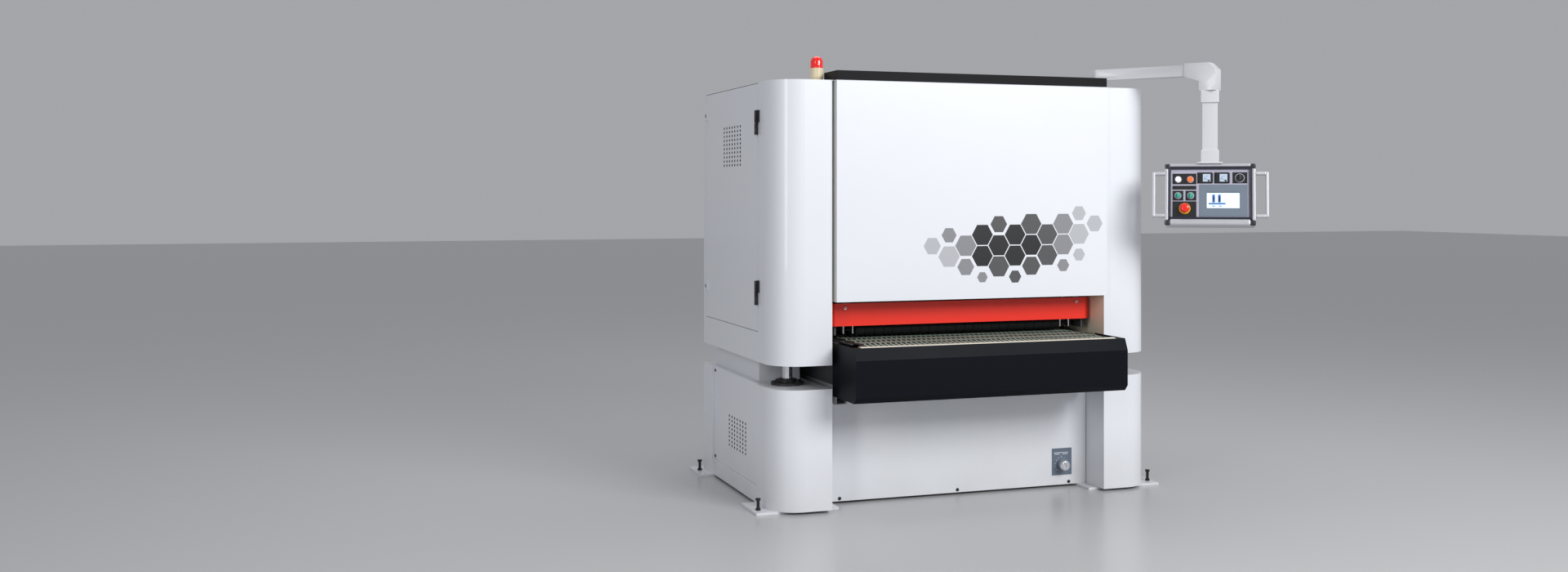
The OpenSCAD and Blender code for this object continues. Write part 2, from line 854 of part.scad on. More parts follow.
// The head's two thick inner walls; the left one has the window for changing belts
module inner_walls() color("#f0ead0") {
    difference() {
        wall_plate();
        shaft_x(x_in - cut, wall_x + cut, contact_y, contact_z, roller_shaft_r + seam);
        shaft_x(x_in - cut, wall_x + cut, motor_y, motor_z, motor_shaft_r + seam);
        shaft_x(x_in - cut, wall_x + cut, brush_y, brush_z, roller_shaft_r + seam);
    }
    mirror([1, 0, 0]) difference() {
        wall_plate();
        slab(x_in - cut, wall_x + cut, window_y0, window_y1, window_z0, window_z1);
        shaft_x(x_in - cut, wall_x + cut, brush_y, brush_z, roller_shaft_r + seam);
    }
}

// Cross beams between the walls, guard lugs, and the brackets that rest on the lift columns
module head_beams() color("gainsboro") {
    both_ends() {
        tube_x(-x_in, x_in, lower_beam_y - beam_d / 2, lower_beam_y + beam_d / 2,
               panel_z, panel_z + beam_tall, beam_wall);
        tube_x(-x_in, x_in, upper_beam_y - beam_d / 2, upper_beam_y + beam_d / 2,
               upper_beam_z, upper_beam_z + beam_tall, beam_wall);
        for (x = [-guard_bolt_x, guard_bolt_x])
            slab(x - lug_w / 2, x + lug_w / 2, -guard_y - guard_t - 2 * beam_wall,
                 -guard_y - guard_t, guard_bolt_z - lug_w / 2, panel_z);
    }
    both_sides() both_ends() {
        slab(wall_x, side_mid + bracket_w / 2, rod_y - bracket_w / 2, rod_y + bracket_w / 2,
             rod_top, rod_top + bracket_t);
        translate([wall_x, rod_y + beam_wall, rod_top + bracket_t]) rotate([90, 0, 0])
            linear_extrude(2 * beam_wall)
                polygon([[0, 0], [bracket_w, 0], [0, bracket_w]]);
    }
}

// Rounded front column skins, skirts and rear door posts of the head
module side_skins() color("white") both_sides() {
    cx = x_out - corner_r;
    cy = y_front + corner_r;
    translate([0, 0, head_z]) linear_extrude(roof_in - head_z) difference() {
        union() {
            corner_disc(corner_r);
            translate([x_in, y_front]) square([cx - x_in, corner_r]);
            translate([x_in, cy]) square([x_out - x_in, door_y0 - seam - cy]);
        }
        corner_disc(corner_r - sheet_t);
        translate([x_in - cut, y_front + sheet_t]) square([cx - x_in + cut, corner_r]);
        translate([x_in - cut, cy])
            square([x_out - x_in - sheet_t + cut, door_y0 - seam - cy + cut]);
    }
    slab(x_out - door_fold, x_out - sheet_t, door_y0 - seam - sheet_t, door_y0 - seam,
         head_z, roof_in);
    slab(x_out - sheet_t, x_out, door_y0 - seam, y_back - sheet_t, head_z, head_z + skirt_h);
    slab(x_out - door_fold, x_out - sheet_t, door_y0 - seam, y_back - sheet_t,
         head_z + skirt_h - sheet_t, head_z + skirt_h);
    slab(x_out - sheet_t, x_out, door_y1 + seam, y_back - sheet_t, head_z + skirt_h, roof_in);
    for (z = hinge_zs) translate([x_out, door_y0 - seam / 2, z]) {
        translate([0, -hinge_leaf, hinge_h / 2 + near_c])
            cube([hinge_out - hinge_pin_r, hinge_leaf - hinge_r / 2, hinge_h / 2 - near_c]);
        translate([hinge_out, 0, hinge_h / 2 + near_c]) difference() {
            cylinder(h = hinge_h / 2 - near_c, r = hinge_r);
            translate([0, 0, -cut]) cylinder(h = hinge_h / 2 + 2 * cut, r = hinge_pin_r + run_c);
        }
    }
}

// Full-width back panel of the head, notched over the conveyor
module back_panel() color("white") difference() {
    slab(-x_out, x_out, y_back - sheet_t, y_back, head_z, roof_in);
    slab(-x_in, x_in, y_back - sheet_t - cut, y_back + cut, head_z - cut, panel_z);
}

// Folded front panel that stands proud of the columns
module front_panel() color("white") difference() {
    slab(panel_x0, panel_x1, y_front - panel_proud, -lower_beam_y - beam_d / 2, panel_z, roof_z);
    slab(panel_x0 + sheet_t, panel_x1 - sheet_t, y_front - panel_proud + sheet_t,
         -lower_beam_y - beam_d / 2 + cut, panel_z + sheet_t, roof_z - sheet_t);
    slab(-x_in, x_in, y_front, 0, roof_in - cut, roof_z + cut);
}

// Black cap along the front edge of the roof
module top_cap() color("#3a3b40") difference() {
    slab(panel_x0, panel_x1, y_front - panel_proud - seam, cap_back, roof_z, roof_z + cap_h);
    slab(panel_x0 + sheet_t, panel_x1 - sheet_t, y_front - panel_proud - seam + sheet_t,
         cap_back - sheet_t, roof_z - cut, roof_z + cap_h - sheet_t);
}

// Roof sheet with the two dust outlets cut out
module roof() color("white") difference() {
    translate([0, 0, roof_in]) linear_extrude(sheet_t) union() {
        both_sides() side_plan(0);
        translate([-x_in - cut, y_front]) square([2 * (x_in + cut), casing_d]);
    }
    both_sides() translate([port_x, port_y, roof_in - cut])
        cylinder(h = sheet_t + 2 * cut, r = port_r - port_wall);
}

// Chromed columns under the head, each with a bolted top flange
module lift_columns() color("silver") both_sides() both_ends() translate([side_mid, rod_y, 0]) {
    translate([0, 0, rod_bottom]) cylinder(h = rod_len, r = rod_r);
    translate([0, 0, rod_top - rod_head_t]) cylinder(h = rod_head_t, r = rod_head_r);
}

// Plan of a guard: a long face with both ends bent back
function guard_line(inset) = [
    [-guard_x - guard_bend, guard_bend + inset], [-guard_x, inset],
    [guard_x, inset], [guard_x + guard_bend, guard_bend + inset]
];

// Red guards over the infeed and the outfeed, with folded lower lips and their bolts
module guards() color("#ff4233") both_ends() translate([0, guard_y, guard_z]) {
    linear_extrude(guard_h)
        polygon(concat(guard_line(0), [for (i = [3 : -1 : 0]) guard_line(guard_t)[i]]));
    linear_extrude(guard_t)
        polygon(concat(guard_line(0), [for (i = [3 : -1 : 0]) guard_line(guard_lip)[i]]));
    for (x = [-guard_bolt_x, guard_bolt_x])
        shaft_y(-guard_bolt_h, 0, x, guard_bolt_z - guard_z, guard_bolt_r);
}

// Cantilever beam of the belt unit with its two roller plates and the steady bar
module sanding_beam() color("gray") {
    low_y = contact_r - end_plate_d;
    high_y = tension_r - end_plate_soft;
    plate_pts = [
        [contact_y - low_y, contact_z - end_plate_up], [contact_y + low_y, contact_z - end_plate_up],
        [contact_y + low_y, contact_z + end_plate_low], [contact_y + high_y, tension_z],
        [contact_y + tension_r - end_plate_d, tension_z + end_plate_up],
        [contact_y - tension_r + end_plate_d, tension_z + end_plate_up],
        [contact_y - high_y, tension_z], [contact_y - low_y, contact_z + end_plate_low]
    ];
    difference() {
        union() {
            slab(beam_x0, x_in, contact_y - sand_beam_w / 2, contact_y + sand_beam_w / 2,
                 sand_beam_z, sand_beam_z + sand_beam_h);
            for (x = [beam_x0 - end_plate_t, -beam_x0])
                translate([x, 0, 0]) rotate([90, 0, 90]) linear_extrude(end_plate_t)
                    polygon(plate_pts);
        }
        shaft_x(-x_in, x_in, contact_y, contact_z, roller_shaft_r + run_c);
        shaft_x(-x_in, x_in, contact_y, tension_z, roller_shaft_r + run_c);
    }
    slab(-wall_x - end_plate_t, -wall_x, window_y0 - ledge, window_y1 + ledge,
         sand_beam_z + ledge, sand_beam_z + 3 * ledge);
    slab(-wall_x, beam_x0 - end_plate_t, contact_y - ledge, contact_y + ledge,
         sand_beam_z + ledge, sand_beam_z + 3 * ledge);
}

// Rubber-covered contact roller with its drive pulley on the long shaft end
module contact_roller() color("#303030") {
    shaft_x(beam_x0 - end_plate_t + seam, pulley_x0 + pulley_w, contact_y, contact_z,
            roller_shaft_r);
    difference() {
        shaft_x(-roller_w / 2, roller_w / 2, contact_y, contact_z, contact_r);
        both_sides() shaft_x(roller_w / 2 - roller_cheek, roller_w / 2 + cut, contact_y,
                             contact_z, contact_r - roller_wall);
    }
    grooved_pulley(contact_y, contact_z, pulley_r);
}

// A pulley with V grooves for the drive belts
module grooved_pulley(y, z, r) translate([pulley_x0, y, z]) rotate([0, 90, 0])
    rotate_extrude() polygon(concat(
        [[0, 0], [r, 0]],
        [for (i = [0 : groove_n - 1], k = [0 : 3]) [
            r - (k == 1 || k == 2 ? groove_d : 0),
            (i + 0.5) * pulley_w / groove_n + groove_w / 2 * [-1, -0.5, 0.5, 1][k]
        ]],
        [[r, pulley_w], [0, pulley_w]]
    ));

module tension_roller() color("silver") {
    shaft_x(beam_x0 - end_plate_t + seam, -beam_x0 + end_plate_t - seam, contact_y, tension_z,
            roller_shaft_r);
    difference() {
        shaft_x(-roller_w / 2, roller_w / 2, contact_y, tension_z, tension_r);
        both_sides() shaft_x(roller_w / 2 - roller_cheek, roller_w / 2 + cut, contact_y,
                             tension_z, tension_r - roller_wall);
    }
}

// The endless abrasive belt round both rollers
module abrasive_belt() color("sienna")
    belt_loop(-roller_w / 2, roller_w / 2, [contact_y, contact_z], contact_r + near_c,
              [contact_y, tension_z], tension_r + near_c, abrasive_t - near_c);

// Main motor on the right inner wall, with cooling fins and a fan cowl
module main_motor() color("slategray") difference() {
    union() {
        shaft_x(x_in - motor_flange_t, x_in, motor_y, motor_z, motor_flange_r);
        shaft_x(x_in - motor_len, x_in - motor_flange_t + cut, motor_y, motor_z, motor_r);
        for (a = [0 : 15 : 345]) translate([x_in - motor_len + 4 * motor_flange_t, motor_y, motor_z])
            rotate([a, 0, 0]) translate([0, -seam / 2, motor_r - cut])
                cube([motor_len - 6 * motor_flange_t, seam, motor_flange_t / 2]);
    }
    shaft_x(x_in - 5 * motor_flange_t, x_in + cut, motor_y, motor_z, motor_shaft_r + run_c);
}

module motor_pulley() color("dimgray") {
    grooved_pulley(motor_y, motor_z, motor_pulley_r);
    shaft_x(x_in - 4 * motor_flange_t, pulley_x0 + cut, motor_y, motor_z, motor_shaft_r);
}

// Three V belts from the motor pulley to the contact roller
module drive_belts() color("black") for (i = [0 : groove_n - 1]) {
    mid = pulley_x0 + (i + 0.5) * pulley_w / groove_n;
    belt_loop(mid - groove_w / 4 + near_c, mid + groove_w / 4 - near_c,
              [contact_y, contact_z], pulley_r - groove_d + near_c,
              [motor_y, motor_z], motor_pulley_r - groove_d + near_c, vbelt_t);
}

// Brush roller: abrasive flaps set in a core, for rounding the edges
module brush_roller() color("darkgoldenrod") {
    shaft_x(-x_in, wall_x + seam, brush_y, brush_z, drum_shaft_r);
    shaft_x(-roller_w / 2, roller_w / 2, brush_y, brush_z, brush_core_r);
    for (k = [0 : brush_flaps - 1]) translate([-roller_w / 2, brush_y, brush_z])
        rotate([k * 360 / brush_flaps, 0, 0])
            translate([0, -brush_flap_t / 2, brush_core_r - cut])
                cube([roller_w, brush_flap_t, brush_r - brush_core_r + cut - near_c]);
}

// Brush motor outside the right wall and the flange bearings of the brush shaft
module brush_motor() color("slategray") difference() {
    union() {
        shaft_x(wall_x, wall_x + bearing_t, brush_y, brush_z, brush_motor_r + bearing_t / 2);
        shaft_x(wall_x, wall_x + brush_motor_len, brush_y, brush_z, brush_motor_r);
        both_sides() shaft_x(x_in - bearing_t, x_in, brush_y, brush_z, bearing_r);
    }
    shaft_x(-x_in - cut, wall_x + bearing_t, brush_y, brush_z, drum_shaft_r + run_c);
}

// Fixed plates that guide the spring-hung forks, and the grey shields beside them
module press_brackets() color("gray") both_sides() both_ends() difference() {
    union() {
        slab(hold_x0, hold_x1, press_y - hold_d / 2, press_y + hold_d / 2,
             hold_plate_z0, panel_z);
        slab(hold_x1 - shield_t, hold_x1, press_y - hold_d / 2, press_y + hold_d / 2,
             belt_z + 2 * shield_t, panel_z);
    }
    translate([fork_x + fork_gap / 2, press_y, hold_plate_z0 - cut])
        cylinder(h = panel_z - hold_plate_z0 + 2 * cut, r = fork_rod_r + run_c);
}

// Forks at both ends of a hold-down roller, each under a guide rod
module hangers() color("silver") both_sides() difference() {
    union() {
        slab(fork_x - fork_t, fork_x + fork_gap + fork_t, press_y - fork_d / 2,
             press_y + fork_d / 2, press_z - fork_drop, fork_top);
        translate([fork_x + fork_gap / 2, press_y, fork_top - cut])
            cylinder(h = panel_z - fork_top + 2 * cut, r = fork_rod_r);
        translate([fork_x + fork_gap / 2, press_y, panel_z]) hex_head(hex_r, hex_h);
    }
    slab(fork_x, fork_x + fork_gap, press_y - fork_d, press_y + fork_d,
         press_z - fork_drop - cut, fork_top - fork_web);
    shaft_x(fork_x - fork_t - cut, fork_x + fork_gap + fork_t + cut, press_y, press_z,
            press_shaft_r + run_c);
}

// Ring-grooved rubber hold-down roller
module press_roller() color("#2c2c2e") {
    grooves = floor(press_w / press_pitch) - 1;
    translate([-press_w / 2, press_y, press_z]) rotate([0, 90, 0]) rotate_extrude()
        polygon(concat(
            [[0, 0], [press_r - press_groove, 0], [press_r, press_groove]],
            [for (i = [1 : grooves], k = [-1, 0, 1])
                [press_r - (k == 0 ? press_groove : 0), i * press_pitch + k * press_groove]],
            [[press_r, press_w - press_groove], [press_r - press_groove, press_w], [0, press_w]]
        ));
    shaft_x(-fork_x - fork_gap - fork_t, fork_x + fork_gap + fork_t, press_y, press_z,
            press_shaft_r);
}

// Points of one ring of the spring wire at a share of the way up the coil
function spring_ring(share, length) = [for (k = [0 : spring_sides - 1])
    let (turn = 360 * spring_turns * share, side = 360 * k / spring_sides,
         r = spring_r + spring_wire * cos(side))
    [r * cos(turn), r * sin(turn), spring_wire + (length - 2 * spring_wire) * share
        + spring_wire * sin(side)]];

// One unbroken compression spring of the given length
module coil_spring(length) {
    rings = spring_turns * spring_rings;
    pts = [for (i = [0 : rings]) for (p = spring_ring(i / rings, length)) p];
    n = spring_sides;
    walls = [for (i = [0 : rings - 1], k = [0 : n - 1]) let (m = (k + 1) % n, a = i * n, b = a + n)
        each [[a + k, a + m, b + k], [a + m, b + m, b + k]]];
    first = [for (k = [1 : n - 2]) [0, k + 1, k]];
    last = [for (k = [1 : n - 2]) [rings * n, rings * n + k, rings * n + k + 1]];
    polyhedron(points = pts, faces = [for (f = concat(walls, first, last)) [f[0], f[2], f[1]]],
               convexity = 4);
}

module springs() color("silver") both_sides()
    translate([fork_x + fork_gap / 2, press_y, fork_top + near_c])
        coil_spring(hold_plate_z0 - fork_top - 2 * near_c);

module front_press_roller() mirror([0, 1, 0]) press_roller();
module front_hangers() mirror([0, 1, 0]) hangers();
module front_springs() mirror([0, 1, 0]) springs();
module rear_press_roller() press_roller();
module rear_hangers() hangers();
module rear_springs() springs();

// Two flanged dust extraction spigots on the roof
module dust_ports() color("lightgray") both_sides() translate([port_x, port_y, roof_z])
    difference() {
        union() {
            cylinder(h = port_h, r = port_r);
            cylinder(h = sheet_t, r = port_r + port_flange);
        }
        translate([0, 0, -cut]) cylinder(h = port_h + 2 * cut, r = port_r - port_wall);
    }

// Door of a side housing: a folded pan with vents, hinge knuckles with pins, and latches
module door() {
    difference() {
        slab(x_out - door_fold, x_out, door_y0, door_y1, door_z0, door_z1);
        slab(x_out - door_fold - cut, x_out - sheet_t, door_y0 + sheet_t, door_y1 - sheet_t,
             door_z0 + sheet_t, door_z1 - sheet_t);
        vents(x_out - sheet_t / 2, door_y0 + door_vent_y, roof_z - door_vent_z, door_vent_rows);
    }
    for (z = hinge_zs) translate([x_out, door_y0 - seam / 2, z]) {
        translate([0, hinge_r / 2, 0])
            cube([hinge_out - hinge_pin_r, hinge_leaf - hinge_r / 2, hinge_h / 2 - near_c]);
        translate([hinge_out, 0, 0]) {
            cylinder(h = hinge_h / 2 - near_c, r = hinge_r);
            cylinder(h = hinge_h, r = hinge_pin_r);
        }
    }
    for (z = latch_zs) {
        slab(x_out, x_out + latch_out, door_y1 - latch_w, door_y1, z, z + latch_h);
        shaft_x(x_out, x_out + latch_out + sheet_t, door_y1 - latch_w / 2, z + latch_h / 2,
                latch_eye_r);
    }
}

module door_right() color("white") door();
module door_left() color("white") mirror([1, 0, 0]) door();

// Swivel seat of the arm on the roof
module arm_pedestal() color("white") translate([arm_x, arm_y, roof_z]) {
    cylinder(h = pivot_flange_t, r = pivot_flange_r);
    cylinder(h = arm_z - arm_tube_h / 2 - roof_z - near_c, r = pivot_r);
    cylinder(h = arm_z - roof_z, r = pivot_bore_r - run_c);
}

// The arm: a hollow end over the pedestal's pin, a tube, and a chamfered elbow with a bore
module swing_arm() color("white") translate([arm_x, arm_y, 0]) rotate([0, 0, arm_yaw]) {
    difference() {
        union() {
            translate([0, 0, arm_z - arm_tube_h / 2]) cylinder(h = arm_tube_h, r = elbow_w / 2);
            slab(0, arm_len - elbow_len + cut, -arm_tube_w / 2, arm_tube_w / 2,
                 arm_z - arm_tube_h / 2, arm_z + arm_tube_h / 2);
        }
        slab(elbow_w / 2 + seam, arm_len - elbow_len, -arm_tube_w / 2 + arm_wall,
             arm_tube_w / 2 - arm_wall, arm_z - arm_tube_h / 2 + arm_wall,
             arm_z + arm_tube_h / 2 - arm_wall);
        translate([0, 0, arm_z - arm_tube_h / 2 - cut])
            cylinder(h = arm_tube_h / 2 + cut + near_c, r = pivot_bore_r);
    }
    difference() {
        translate([arm_len, elbow_w / 2, 0]) rotate([90, 0, 0]) linear_extrude(elbow_w) polygon([
            [-elbow_len, elbow_top], [elbow_w / 2 - elbow_chamfer, elbow_top],
            [elbow_w / 2, elbow_top - elbow_chamfer], [elbow_w / 2, elbow_top - elbow_h],
            [-elbow_w / 2, elbow_top - elbow_h], [-elbow_w / 2, arm_z - arm_tube_h],
            [-elbow_len, arm_z - arm_tube_h / 2 - seam]
        ]);
        translate([arm_len, 0, elbow_top - elbow_h - cut])
            cylinder(h = elbow_pin_h + cut, r = elbow_pin_r + run_c);
    }
}

// Frame of the drop tube: its axis, turned like the operator panel
module at_drop() translate([pend_x, pend_y, 0]) rotate([0, 0, pendant_yaw]) children();

// Frame of the operator panel, with its face tilted up
module at_pendant() at_drop() translate([0, 0, pendant_z]) rotate([-pendant_tilt, 0, 0])
    children();

// Square drop tube with a pin into the elbow, two couplings and a wedge on the panel's roof
module drop_tube() color("white") at_drop() {
    bottom = pendant_z + pendant_h / 2 * cos(pendant_tilt) + pendant_d / 2 * sin(pendant_tilt);
    difference() {
        union() {
            slab(-arm_tube_w / 2, arm_tube_w / 2, -arm_tube_h / 2, arm_tube_h / 2, bottom, tube_top);
            for (z = [bottom + coupling_t - cut, tube_top - coupling_h])
                slab(-coupling_w / 2, coupling_w / 2, -coupling_w / 2 + coupling_t,
                     coupling_w / 2 - coupling_t, z, z + coupling_h);
            slab(-wedge_x, wedge_x, -coupling_w / 2, coupling_w / 2, bottom,
                 bottom + coupling_t);
        }
        slab(-arm_tube_w / 2 + arm_wall, arm_tube_w / 2 - arm_wall, -arm_tube_h / 2 + arm_wall,
             arm_tube_h / 2 - arm_wall, bottom + coupling_t, tube_top - coupling_t);
    }
    translate([0, 0, tube_top - coupling_t])
        cylinder(h = coupling_t + elbow_pin_h, r = elbow_pin_r);
    difference() {
        slab(-wedge_x, wedge_x, -coupling_w / 2, coupling_w / 2, pendant_z, bottom);
        translate([0, 0, pendant_z]) rotate([-pendant_tilt, 0, 0])
            slab(-pendant_w, pendant_w, -pendant_d, pendant_d, -pendant_h, pendant_h / 2);
    }
}

// Aluminium enclosure of the operator panel, open at the face
module pendant_box() color("silver") at_pendant() difference() {
    slab(-pendant_w / 2 + frame_back, pendant_w / 2 - frame_back, face_y + frame_t,
         pendant_d / 2, -pendant_h / 2 + frame_back, pendant_h / 2);
    slab(-pendant_w / 2 + frame_back + box_wall, pendant_w / 2 - frame_back - box_wall,
         face_y + frame_t - cut, pendant_d / 2 - box_wall,
         -pendant_h / 2 + frame_back + box_wall, pendant_h / 2 - box_wall);
}

// Front frame with rounded corners and a grab handle on each side
module pendant_frame() color("gainsboro") at_pendant() {
    difference() {
        union() {
            slab(-pendant_w / 2 + cap_r, pendant_w / 2 - cap_r, face_y, face_y + frame_t,
                 -pendant_h / 2, pendant_h / 2);
            slab(-pendant_w / 2, pendant_w / 2, face_y, face_y + frame_t,
                 -pendant_h / 2 + cap_r, pendant_h / 2 - cap_r);
            for (x = [-1, 1], z = [-1, 1])
                shaft_y(face_y, face_y + frame_t, x * (pendant_w / 2 - cap_r),
                        z * (pendant_h / 2 - cap_r), cap_r);
        }
        slab(-face_w / 2, face_w / 2, face_y - cut, face_y + frame_t + cut,
             face_rise - face_h / 2, face_rise + face_h / 2);
    }
    both_sides() {
        slab(pendant_w / 2 + handle_out, pendant_w / 2 + handle_out + handle_t,
             face_y, face_y + handle_d, -handle_h / 2, handle_h / 2);
        for (z = [-handle_h / 2, handle_h / 2 - handle_t])
            slab(pendant_w / 2, pendant_w / 2 + handle_out, face_y, face_y + handle_d,
                 z, z + handle_t);
    }
}

// Face plate with raised meters and a collar round each control
module face_plate() color("#c8c6d8") at_pendant() difference() {
    turned = [[mode_x, selector_row], [feed_x, selector_row], [switch_x, meter_row],
              [stop_x, stop_row]];
    union() {
        slab(-face_w / 2 + near_c, face_w / 2 - near_c, face_top, face_top + face_t,
             face_rise - face_h / 2 + near_c, face_rise + face_h / 2 - near_c);
        for (x = [meter_x0, meter_x1])
            slab(x - meter_w / 2, x + meter_w / 2, face_top - 2 * boss_h, face_top + cut,
                 meter_row - meter_h / 2, meter_row + meter_h / 2);
        for (x = [lamp_x, start_x])
            shaft_y(collar_top, face_top + cut, x, button_row, button_collar_r);
        for (x = [mode_x, feed_x])
            shaft_y(collar_top, face_top + cut, x, selector_row, button_collar_r);
        shaft_y(collar_top, face_top + cut, stop_x, stop_row, stop_ring_r);
        shaft_y(collar_top, face_top + cut, switch_x, meter_row, switch_r + boss_h);
    }
    for (x = [lamp_x, start_x])
        shaft_y(face_y - cut, face_y + 2 * frame_t, x, button_row, button_r + run_c);
    for (p = turned)
        shaft_y(face_y - cut, face_y + 2 * frame_t, p[0], p[1], stop_stem_r + run_c);
    slab(hmi_x - hmi_w / 2, hmi_x + hmi_w / 2, face_y - cut, face_y + 2 * frame_t,
         hmi_row - hmi_h / 2, hmi_row + hmi_h / 2);
}

// Touch screen in its sunk bezel
module touch_screen() color("#8fa6c0") at_pendant() difference() {
    slab(hmi_x - hmi_w / 2 + near_c, hmi_x + hmi_w / 2 - near_c, face_y + frame_t - face_t - hmi_t,
         face_y + frame_t + 2 * hmi_t, hmi_row - hmi_h / 2 + near_c, hmi_row + hmi_h / 2 - near_c);
    slab(hmi_x - screen_w / 2, hmi_x + screen_w / 2, face_y, face_y + frame_t - face_t - hmi_t + screen_t,
         hmi_row - screen_h / 2, hmi_row + screen_h / 2);
}

// A round push button that slides through the plate
module push_button(x) at_pendant()
    shaft_y(collar_top - button_out, face_top + button_in, x, button_row, button_r);

module lamp_button() color("white") push_button(lamp_x);
module start_button() color("orangered") push_button(start_x);

// A selector with a raised grip bar on a round head
module selector(x, z, r, grip) at_pendant() translate([x, 0, z]) {
    top = collar_top - near_c;
    shaft_y(top - boss_h, top, 0, 0, r);
    shaft_y(top - cut, face_top + button_in, 0, 0, stop_stem_r);
    translate([-selector_bar / 2, top - boss_h - grip, -r + cut])
        cube([selector_bar, grip + cut, 2 * (r - cut)]);
}

module mode_selector() color("#30a890") selector(mode_x, selector_row, selector_r, button_out);
module feed_selector() color("#30a890") selector(feed_x, selector_row, selector_r, button_out);
module main_switch() color("#202020") selector(switch_x, meter_row, switch_r, button_out);

// Red mushroom head of the emergency stop
module stop_button() color("red") at_pendant() translate([stop_x, 0, stop_row]) {
    top = collar_top - button_travel - near_c;
    translate([0, top, 0]) rotate([90, 0, 0]) rotate_extrude() polygon([
        [0, 0], [stop_stem_r, 0], [stop_r * 0.83, stop_out * 0.15], [stop_r, stop_out * 0.35],
        [stop_r, stop_out * 0.62], [stop_r * 0.79, stop_out * 0.85], [stop_r / 2, stop_out],
        [0, stop_out]
    ]);
    shaft_y(top - cut, face_top + button_in, 0, 0, stop_stem_r);
}

// Round beacon base on its bracket, and the dome lens on top
module beacon_base() color("#e8dfc0") translate([beacon_x, beacon_y, roof_z]) {
    cylinder(h = beacon_foot_h + beacon_base_h, r = beacon_r - sheet_t);
    translate([0, 0, beacon_foot_h]) cylinder(h = beacon_base_h, r = beacon_r);
    for (a = [60, 180, 300]) rotate([0, 0, a]) translate([beacon_r - sheet_t - cut, -beacon_pad / 2, 0])
        cube([beacon_pad, beacon_pad, sheet_t]);
}

module beacon_dome() color("red")
    translate([beacon_x, beacon_y, roof_z + beacon_foot_h + beacon_base_h]) rotate_extrude()
        intersection() {
            union() {
                square([beacon_r - 1, beacon_dome_h - beacon_r + 1]);
                translate([0, beacon_dome_h - beacon_r + 1]) circle(r = beacon_r - 1);
            }
            square([beacon_r, beacon_dome_h]);
        }

base_frame();
base_housings();
lower_panels();
foot_plates();
levelling_bolts();
necks();
lift_jacks();
lift_drive();
casing_screws();
conveyor_frame();
conveyor_belt();
conveyor_gearmotor();
conveyor_covers();
dial_plate();
speed_knob();
infeed_drum();
outfeed_drum();
inner_walls();
head_beams();
side_skins();
back_panel();
front_panel();
top_cap();
roof();
lift_columns();
guards();
sanding_beam();
main_motor();
drive_belts();
brush_motor();
press_brackets();
dust_ports();
arm_pedestal();
beacon_base();
beacon_dome();
contact_roller();
tension_roller();
abrasive_belt();
motor_pulley();
brush_roller();
front_press_roller();
front_hangers();
front_springs();
rear_press_roller();
rear_hangers();
rear_springs();
door_left();
door_right();
swing_arm();
drop_tube();
pendant_box();
pendant_frame();
face_plate();
touch_screen();
lamp_button();
start_button();
mode_selector();
feed_selector();
main_switch();
stop_button();
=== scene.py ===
"""Looks of the wide-belt edge rounding machine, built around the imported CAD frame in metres."""

import json
import math

import bmesh
import bpy
from mathutils import Matrix, Vector


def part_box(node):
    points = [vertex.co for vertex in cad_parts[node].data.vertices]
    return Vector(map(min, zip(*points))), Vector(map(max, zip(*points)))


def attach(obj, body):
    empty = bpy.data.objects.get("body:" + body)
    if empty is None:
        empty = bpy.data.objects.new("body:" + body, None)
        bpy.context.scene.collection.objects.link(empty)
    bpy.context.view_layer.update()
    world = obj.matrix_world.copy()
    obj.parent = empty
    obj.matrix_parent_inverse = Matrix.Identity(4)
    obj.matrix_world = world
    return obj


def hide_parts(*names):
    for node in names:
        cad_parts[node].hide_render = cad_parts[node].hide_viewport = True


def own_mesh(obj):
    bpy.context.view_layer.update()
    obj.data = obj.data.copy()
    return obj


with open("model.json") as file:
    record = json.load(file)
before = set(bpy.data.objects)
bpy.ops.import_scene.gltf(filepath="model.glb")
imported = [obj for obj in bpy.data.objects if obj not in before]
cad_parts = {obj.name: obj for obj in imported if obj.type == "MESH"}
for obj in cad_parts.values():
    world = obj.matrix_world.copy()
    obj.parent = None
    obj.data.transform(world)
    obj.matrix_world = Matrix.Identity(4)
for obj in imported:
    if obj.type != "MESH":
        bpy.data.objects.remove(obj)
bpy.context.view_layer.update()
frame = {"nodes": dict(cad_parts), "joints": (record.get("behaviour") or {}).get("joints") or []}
nodes = frame["nodes"]


# Base housings, aprons, vented panels and foot plates. Folded steel sheet, powder coated in a
# slightly bluish white, with more dust towards the floor.
SURFACE = (("Color", "c"), ("Roughness", "f"), ("Height", "f"))


def effect(name, inputs, outputs=SURFACE):
    """A shader node group with float or colour inputs and named outputs."""
    tree = bpy.data.node_groups.new(name, "ShaderNodeTree")
    kinds = {"c": "NodeSocketColor", "f": "NodeSocketFloat"}
    for label, kind, value in inputs:
        sock = tree.interface.new_socket(label, in_out="INPUT", socket_type=kinds[kind])
        sock.default_value = value
    for label, kind in outputs:
        tree.interface.new_socket(label, in_out="OUTPUT", socket_type=kinds[kind])
    return tree, tree.nodes.new("NodeGroupInput"), tree.nodes.new("NodeGroupOutput")


def wire(tree, kind, settings=None, **inputs):
    """A node with its settings, and its inputs set or linked by name or by number."""
    made = tree.nodes.new(kind)
    for key, value in (settings or {}).items():
        setattr(made, key, value)
    for key, value in inputs.items():
        sock = made.inputs[int(key[1:]) if key[1:].isdigit() else key.replace("_", " ")]
        if isinstance(value, bpy.types.NodeSocket):
            tree.links.new(value, sock)
        else:
            sock.default_value = value
    return made


def object_place(tree):
    """The surface's place in the machine's own frame, in metres."""
    return wire(tree, "ShaderNodeTexCoord").outputs["Object"]


def maths(tree, operation, *values):
    """The result of a math node on numbers or sockets."""
    named = {f"_{i}": value for i, value in enumerate(values)}
    return wire(tree, "ShaderNodeMath", {"operation": operation}, **named).outputs[0]


